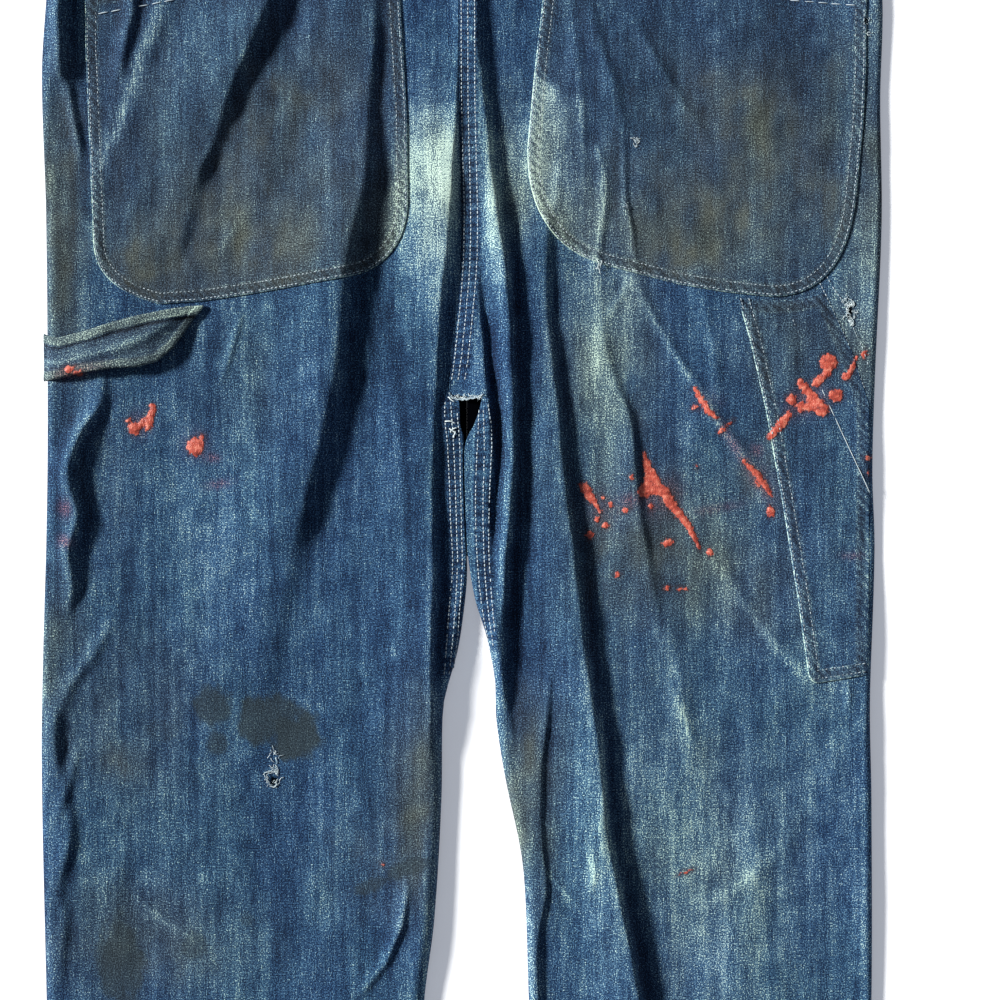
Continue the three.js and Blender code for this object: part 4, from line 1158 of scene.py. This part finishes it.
def strap(side):
    """A strap from the high back, over the fold at the shoulder and back round the buckle's bar."""
    route, turn = strap_route()
    run = distances_along(route)
    at = np.unique(np.concatenate([np.arange(0, run[-1], 3.0), run]))
    y, z = (np.interp(at, run, route[:, k]) for k in (0, 1))
    going_up = at < run[turn]
    centre = np.where(going_up, np.interp(np.minimum(y, 740), [488, 740], [52, BUTTON[0]]), BUTTON[0])
    tangent = np.stack([np.gradient(y), np.gradient(z)], -1)
    tangent /= np.linalg.norm(tangent, axis=1, keepdims=True)
    share = np.linspace(-1, 1, 17)
    x = side * centre[:, None] + share * STRAP_WIDTH / 2
    edge = (1 - np.abs(share)) * STRAP_WIDTH / 2
    thick = 0.62 + 0.12 * np.exp(-((edge / 2) ** 2)) - 0.3 * np.exp(-((edge / 0.5) ** 2))
    thick = thick - 0.1 * np.exp(-(((edge - 3) / 0.8) ** 2))
    layers = []
    for way in (1, -1):
        py = y[:, None] - way * tangent[:, 1:] * thick
        pz = z[:, None] + way * tangent[:, :1] * thick
        layers.append(np.stack([x, py, pz], -1))
    ny, nx = x.shape
    a = np.arange(ny * nx).reshape(ny, nx)
    b = a + ny * nx
    faces = np.stack([a[:-1, :-1], a[:-1, 1:], a[1:, 1:], a[1:, :-1]], -1).reshape(-1, 4).tolist()
    faces += np.stack([b[:-1, :-1], b[1:, :-1], b[1:, 1:], b[:-1, 1:]], -1).reshape(-1, 4).tolist()
    ring = [*a[0], *a[1:, -1], *a[-1, -2::-1], *a[-2:0:-1, 0]]
    ring = [int(i) for i in ring]
    n = ny * nx
    faces += [[p, p + n, q + n, q] for p, q in zip(ring, ring[1:] + ring[:1])]
    points = np.vstack([layer.reshape(-1, 3) for layer in layers])
    points[:, 2] = np.maximum(points[:, 2], 0.02)
    across, along = np.broadcast_arrays(share * STRAP_WIDTH / 2, at[:, None])
    weave = np.stack([across, along, 0 * x], -1)
    fields = plain_fields(points[:, 0], 0.5, 0.25)
    rub = np.tile(0.16 * np.exp(-((edge / 1.2) ** 2)), 2 * ny)
    fields["fade_and_shade"] = fields["fade_and_shade"] + rub + 0.04 * ripple(points[:, 0], points[:, 1], 30, 1, 97)
    weave = np.vstack([weave.reshape(-1, 3)] * 2)
    obj = make_mesh("shoulder_strap_" + hand(side), points, faces, DENIM, fields, weave)
    return settle(obj, "denim_trim", "strap_" + hand(side))


def tube(path, radius, sides=12, closed=False):
    """Points and faces of a round tube along a path, radius being a number or one for each point."""
    path = np.asarray(path, float)
    radius = np.broadcast_to(np.asarray(radius, float), (len(path),))
    if closed:
        tangent = np.roll(path, -1, 0) - np.roll(path, 1, 0)
    else:
        tangent = np.gradient(path, axis=0)
    tangent /= np.maximum(np.linalg.norm(tangent, axis=1, keepdims=True), 1e-9)
    up = np.where(np.abs(tangent[:, 2:]) > 0.9, [[1.0, 0, 0]], [[0, 0, 1.0]])
    sideways = np.cross(tangent, up)
    sideways /= np.linalg.norm(sideways, axis=1, keepdims=True)
    lift = np.cross(sideways, tangent)
    turn = np.linspace(0, math.tau, sides, endpoint=False)
    ring = np.cos(turn)[None, :, None] * sideways[:, None] + np.sin(turn)[None, :, None] * lift[:, None]
    points = (path[:, None] + ring * radius[:, None, None]).reshape(-1, 3)
    n = len(path)
    faces = []
    for i in range(n if closed else n - 1):
        for k in range(sides):
            a, b = i * sides + k, i * sides + (k + 1) % sides
            c, d = ((i + 1) % n) * sides + (k + 1) % sides, ((i + 1) % n) * sides + k
            faces.append([a, b, c, d])
    if not closed:
        faces.append(list(range(sides))[::-1])
        faces.append([(n - 1) * sides + k for k in range(sides)])
    return points, faces


def closed_curve(points, count):
    """A smooth closed curve through points."""
    p = np.asarray(points, float)
    n = len(p)
    out = []
    for s in np.linspace(0, n, count, endpoint=False):
        i, t = int(s), s - int(s)
        a, b, c, d = p[(i - 1) % n], p[i % n], p[(i + 1) % n], p[(i + 2) % n]
        square, cube = 2 * a - 5 * b + 4 * c - d, 3 * b - a - 3 * c + d
        out.append(0.5 * (2 * b + (c - a) * t + square * t * t + cube * t ** 3))
    return np.array(out)


def hardware(side):
    """A wire buckle hooked over its button."""
    cx, cy = side * BUTTON[0], BUTTON[1]
    half = STRAP_WIDTH / 2 + 3.3
    right = [(half - 2, 40), (half, 37), (half - 2, 32), (10, 14), (9, 4), (6.5, -5)]
    outline = right + [(0, -8)] + [(-x, y) for x, y in right[::-1]]
    path = closed_curve([(cx + x, cy + y, BAR_Z) for x, y in outline], 96)
    points, faces = tube(path, WIRE, 12, closed=True)
    label = hand(side)
    settle(make_mesh("wire_buckle_" + label, points, faces, METAL), "hardware", "buckle_" + label)
    profile = [
        (0, 0.02), (7.6, 0.02), (8.4, 0.25), (8.8, 0.8), (8.3, 1.35), (7.2, 1.5), (3.2, 1.5), (2.1, 1.9),
        (2.0, 4.3), (2.6, 4.7), (0, 4.7),
    ]
    steps = 40
    turn = np.linspace(0, math.tau, steps, endpoint=False)
    rings = profile[1:-1]
    points = [(cx, cy, profile[0][1])]
    points += [(cx + r * math.cos(a), cy + r * math.sin(a), z) for r, z in rings for a in turn]
    points.append((cx, cy, profile[-1][1]))
    faces = [[0, 1 + (k + 1) % steps, 1 + k] for k in range(steps)]
    for j in range(len(rings) - 1):
        for k in range(steps):
            a, b = 1 + j * steps + k, 1 + j * steps + (k + 1) % steps
            faces.append([a, b, b + steps, a + steps])
    last = 1 + (len(rings) - 1) * steps
    faces += [[last + k, last + (k + 1) % steps, len(points) - 1] for k in range(steps)]
    settle(make_mesh("round_button_" + label, points, faces, METAL), "hardware", "bib_button_" + label)


# ---------------------------------------------------------------- stitches and frayed threads

class Joined:
    """Many small closed forms gathered into one mesh."""

    def __init__(self):
        self.points, self.faces, self.tones, self.count = [], [], [], 0

    def add(self, points, faces, tone):
        self.points.append(points)
        self.faces += [[i + self.count for i in face] for face in faces]
        self.tones.append(np.full(len(points), tone))
        self.count += len(points)

    def build(self, name, material):
        fields = {"tone": np.concatenate(self.tones)}
        settle(make_mesh(name, np.vstack(self.points), self.faces, material, fields), "denim_trim")


def stitch_row(into, line, height, draw, tone=0.75, pitch=STITCH_PITCH, radius=0.34, missing=0.02):
    """Short stitches along an (x, y) line, each dipping into the cloth at both ends."""
    line = np.asarray(line, float)
    run = distances_along(line)
    count = int(run[-1] / pitch)
    for k in range(count):
        if draw.random() < missing:
            continue
        start = (k + 0.12 + draw.uniform(-0.05, 0.05)) * pitch
        at = start + np.linspace(0, 0.76 * pitch, 5)
        x, y = np.interp(at, run, line[:, 0]), np.interp(at, run, line[:, 1])
        x = x + draw.uniform(-0.12, 0.12)
        z = height(x, y) + np.array([-0.2, 0.2, 0.3, 0.2, -0.2])
        thick = radius * draw.uniform(0.85, 1.15) * np.array([0.45, 0.95, 1.05, 0.95, 0.45])
        points, faces = tube(np.stack([x, y, z], -1), thick, 5)
        into.add(points, faces, np.clip(tone + draw.normal(0, 0.16), 0, 1))


def on_left(x, y):
    return back_surface(x, y, -1)


def on_right(x, y):
    return back_surface(x, y, 1)


def curve_points(row, top, foot):
    y = np.arange(top, foot, -4.0)
    return np.stack([row(y), y], -1)


def open_run(line, keep):
    """The kept part of a closed line, in order and starting after the part left out."""
    start = int(np.flatnonzero(~keep)[-1]) + 1
    return np.roll(line, -start, 0)[np.roll(keep, -start)]


def thread_path(start, heading, length, draw, height, curl=0.5, arch=1.2, steps=9):
    """A loose thread that wanders over the cloth from one fastened end."""
    x, y = start
    a = heading
    points = [(x, y)]
    for _ in range(steps - 1):
        a += draw.normal(0, curl)
        x += math.cos(a) * length / steps
        y += math.sin(a) * length / steps
        points.append((x, y))
    xy = np.array(points)
    rise = arch * np.sin(np.linspace(0.1, math.pi * 0.95, steps)) + 0.25
    return np.column_stack([xy, height(xy[:, 0], xy[:, 1]) + rise])


def all_stitches():
    draw = np.random.default_rng(5)
    seams = Joined()
    for row in CENTRE_ROWS:
        stitch_row(seams, curve_points(row, 505, 2), on_right, draw, 0.85, radius=0.4)
    for row in LEFT_INSEAM_ROWS:
        line = curve_points(row, row.y[-1] - 1, row.y[0])
        stitch_row(seams, line, on_left, draw, 0.9, radius=0.4, missing=0.05)
    for row in RIGHT_INSEAM_ROWS:
        line = curve_points(row, row.y[-1] - 1, row.y[0])
        stitch_row(seams, line, on_right, draw, 0.88, radius=0.4, missing=0.05)
    for row in OUTSEAM_ROWS:
        stitch_row(seams, curve_points(row, row.y[-1], row.y[0]), on_right, draw, 0.6, missing=0.1)
    seams.build("stitches_seams", THREAD)

    pockets = Joined()
    for corners, height in ((HIP_LEFT, on_left), (HIP_RIGHT, on_right)):
        loop = resample(rounded(corners), 1.5)
        moved = {d: loop + inward(loop) * d for d in POCKET_ROWS}
        lift = lambda x, y, f=height: f(x, y) + 1.35
        for d, line in moved.items():
            shown = 0.95 if d == POCKET_ROWS[0] else 0.7
            stitch_row(pockets, open_run(line, line[:, 1] < 275), lift, draw, shown, radius=0.3, missing=0.06)
    for start, end, height in (((-256, 262.5), (-48, 300), on_left), ((58, 288), (280, 268), on_right)):
        line = np.linspace(start, end, 60)
        stitch_row(pockets, line, lambda x, y, f=height: f(x, y) + 2.0, draw, 1.0, pitch=9.5, radius=0.36)
    on_rule = lambda x, y: on_right(x, y) + 1.3
    for d in POCKET_ROWS:
        side = np.array(RULE[:6], float) + (d, 0)
        foot = np.array([(244, -204), (283, -198)], float) + (0, d)
        stitch_row(pockets, side, on_rule, draw, 0.6, missing=0.08)
        stitch_row(pockets, foot, on_rule, draw, 0.6, missing=0.08)
    stitch_row(pockets, [(224.7, 63), (230.3, 50.4), (238, 31.5), (245.7, 12.6)], on_rule, draw, 0.45,
               missing=0.3)
    pockets.build("stitches_pockets", THREAD)

    rim = Joined()
    for d in (3.0, 9.0):
        for side_curve, way, height in ((left_side, 1, on_left), (right_side, -1, on_right)):
            y = np.arange(518 - d, 344, -3.0)
            line = np.stack([side_curve(y + d * 0.4) + way * d, y - d * 0.3], -1)
            stitch_row(rim, line, height, draw, 0.6)
    for half, height in (((-283, -54), on_left), ((64, 279), on_right)):
        line = np.stack([np.linspace(half[0], half[1], 60), np.full(60, HEM_Y + 12)], -1)
        stitch_row(rim, line, lambda x, y, f=height: f(x, y) + 0.1, draw, 0.6)
    y = np.arange(BIB_TOP_Y - 11, WAIST_Y + 4, -4.0)
    on_bib = lambda x, y: bib_height(y) + 1.25
    for side in (-1, 1):
        stitch_row(rim, np.stack([side * (bib_half(y) - 11), y], -1), on_bib, draw, 0.6)
    stitch_row(rim, [(-113, BIB_TOP_Y - 11), (113, BIB_TOP_Y - 11)], on_bib, draw, 0.6)
    for level in (4, 12):
        line = np.array([(-74, BACK_TOP_Y - level), (74, BACK_TOP_Y - level)], float)
        stitch_row(rim, line, lambda x, y: on_left(x, y) + 0.1, draw, 0.6)
    rim.build("stitches_edges", THREAD)


def all_threads():
    draw = np.random.default_rng(9)
    loose = Joined()

    def tangle(cx, cy, rx, ry, count, length, height, tone=0.85, radius=0.2, arch=0.8):
        for _ in range(count):
            a = draw.uniform(0, math.tau)
            start = (cx + rx * math.cos(a), cy + ry * math.sin(a))
            heading = a + math.pi / 2 + draw.normal(0, 0.9)
            path = thread_path(start, heading, length * draw.uniform(0.5, 1.2), draw, height, 0.55, arch)
            points, faces = tube(path, radius * draw.uniform(0.7, 1.2), 5)
            loose.add(points, faces, np.clip(tone + draw.normal(0, 0.15), 0, 1))

    tangle(-131.5, -257, 2.6, 5, 12, 5.5, on_left, 0.55, 0.2)
    tangle(-132.5, -272, 4.2, 6, 30, 6, on_left, 0.7, 0.2)
    tangle(120.5, 173, 1.6, 2.4, 16, 4, lambda x, y: on_right(x, y) + 1.6, 0.55, 0.2)
    tangle(114.3, 127, 1.0, 1.6, 6, 3.5, lambda x, y: on_right(x, y) + 1.6, 0.4, 0.17)
    tangle(94, 86, 1.5, 1.5, 5, 9, lambda x, y: on_right(x, y) + 1.2, 0.9, 0.22, 1.6)
    tangle(271, 54, 2.6, 7, 34, 5, on_right, 0.8, 0.2)
    tangle(269.5, 62, 1.6, 3, 8, 5.5, on_right, 0.75, 0.22)
    tangle(281.5, 256, 2.2, 7, 14, 6, on_right, 0.75, 0.2)
    # torn edge of the crotch: short bristles along it, and a few long ends
    for _ in range(46):
        share = draw.random()
        start = (-8 + 22 * share, -4.6 + draw.normal(0, 0.7))
        path = thread_path(start, -math.pi / 2 + draw.normal(0, 1.1), draw.uniform(1.5, 4), draw,
                           lambda x, y: on_right(x, np.maximum(y, -2)) - 0.2, 0.5, 0.7)
        points, faces = tube(path, 0.17 * draw.uniform(0.7, 1.3), 5)
        loose.add(points, faces, np.clip(0.55 + draw.normal(0, 0.3), 0, 1))
    # the rolled edge of the tear
    step = np.arange(90)
    cord = closed_curve([
        (-9.5, -2.5), (-7.5, -5.6), (-2, -7.0), (4, -6.4), (10, -5.6), (13.5, -3.6), (14, -3.4), (10, -5.0),
        (4, -5.8), (-2, -6.4), (-7, -5.0), (-9, -2.4),
    ], len(step))
    height = on_right(cord[:, 0], np.maximum(cord[:, 1], -2.5)) + 0.5
    cord = cord + 0.3 * np.column_stack([np.sin(step * 0.9), np.cos(step * 1.3)])
    points, faces = tube(np.column_stack([cord, height + 0.25 * np.sin(step)]), 0.3, 6, closed=True)
    loose.add(points, faces, 0.35)
    # single ends beside the tear
    for start, end in (((-9, -27), (-5, -31)), ((-5, -26.5), (-8.5, -29.5)), ((-12.5, -22), (-4.5, -23)),
                       ((-11, -5), (-6, -8)), ((-6, -29), (-5.5, -33))):
        t = np.linspace(0, 1, 9)[:, None]
        xy = np.array(start) * (1 - t) + np.array(end) * t
        xy = xy + np.column_stack([0.7 * np.sin(t[:, 0] * 5 + start[0]), 0.5 * np.sin(t[:, 0] * 4)])
        z = on_left(xy[:, 0], xy[:, 1]) + 0.5 + 0.8 * np.sin(np.pi * t[:, 0])
        points, faces = tube(np.column_stack([xy, z]), 0.42, 6)
        loose.add(points, faces, 0.95)
    # a bright straight thread across the rule pocket's mouth
    line = [(251, 0), (264, -28), (284, -72)]
    along = np.linspace(0, 1, 60)
    x, y = (np.interp(along, [0, 0.4, 1], axis) for axis in zip(*line))
    points, faces = tube(np.column_stack([x, y, on_right(x, y) + 1.9 + 0.15 * np.sin(along * 40)]), 0.21, 6)
    loose.add(points, faces, 0.9)
    loose.build("frayed_threads", FRAY)


# ---------------------------------------------------------------- build

panel_left, panel_right = back_panel(-1), back_panel(1)
hip_left = patch_pocket("hip_pocket_patch_left", "hip_pocket_left", HIP_LEFT, -1, 0.37, 0.16,
                        ((-264, 277), (-46, 308)))
hip_right = patch_pocket("hip_pocket_patch_right", "hip_pocket_right", HIP_RIGHT, 1, 0.42, 0.12,
                         ((56.5, 300), (282, 280)))
rule = patch_pocket("rule_pocket_patch", "rule_pocket", RULE, 1, 0.47, 0.08,
                    sewn_in=[(284, -199), (284, -10), (272, 27), (257, 60), (252, 68.5), (192, 64)])
loop_piece = hammer_loop()
front_l, front_r = front_panel(-1), front_panel(1)
bib_piece = bib()
strap_l, strap_r = strap(-1), strap(1)
for way in (-1, 1):
    hardware(way)
all_stitches()
all_threads()

# ---------------------------------------------------------------- floor, light and camera

bpy.ops.mesh.primitive_plane_add(size=8, location=(0, 0, -0.0002))
floor = bpy.context.object
floor.name = "floor"
floor.data.materials.append(floor_material())


def sun(name, azimuth, elevation, strength, softness, colour=(1, 1, 1)):
    """A distant light that shines from azimuth (degrees from +X towards +Y) and elevation."""
    light = bpy.data.lights.new(name, "SUN")
    light.energy, light.angle, light.color = strength, math.radians(softness), colour
    obj = bpy.data.objects.new(name, light)
    a, e = math.radians(azimuth), math.radians(elevation)
    towards = Vector((math.cos(e) * math.cos(a), math.cos(e) * math.sin(a), math.sin(e)))
    obj.rotation_euler = towards.to_track_quat("Z", "Y").to_euler()
    bpy.context.scene.collection.objects.link(obj)


# one large soft light from the upper left, and an even fill
sun("key", 161, 30, 7.3, 10, (1.0, 0.98, 0.94))
world = bpy.data.worlds.new("studio")
world.use_nodes = True
world.node_tree.nodes["Background"].inputs[0].default_value = (0.78, 0.85, 1.0, 1)
world.node_tree.nodes["Background"].inputs[1].default_value = 0.2
bpy.context.scene.world = world
bpy.context.scene.view_settings.view_transform = "Standard"

# Straight down over seat and knees; the picture is 0.7 m wide at the cloth
CAMERA_HEIGHT = 1.6
PICTURE_WIDTH = 0.7
SEAT_TO_KNEES = (26.0, -77.0)
camera_data = bpy.data.cameras.new("camera")
camera_data.sensor_width = 36
camera_data.lens = 36 * CAMERA_HEIGHT / PICTURE_WIDTH
camera = bpy.data.objects.new("camera", camera_data)
camera.location = (
    (SEAT_TO_KNEES[0] + SHIFT[0]) * MM, (SEAT_TO_KNEES[1] + SHIFT[1]) * MM, CAMERA_HEIGHT + 0.004)
bpy.context.scene.collection.objects.link(camera)
bpy.context.scene.camera = camera
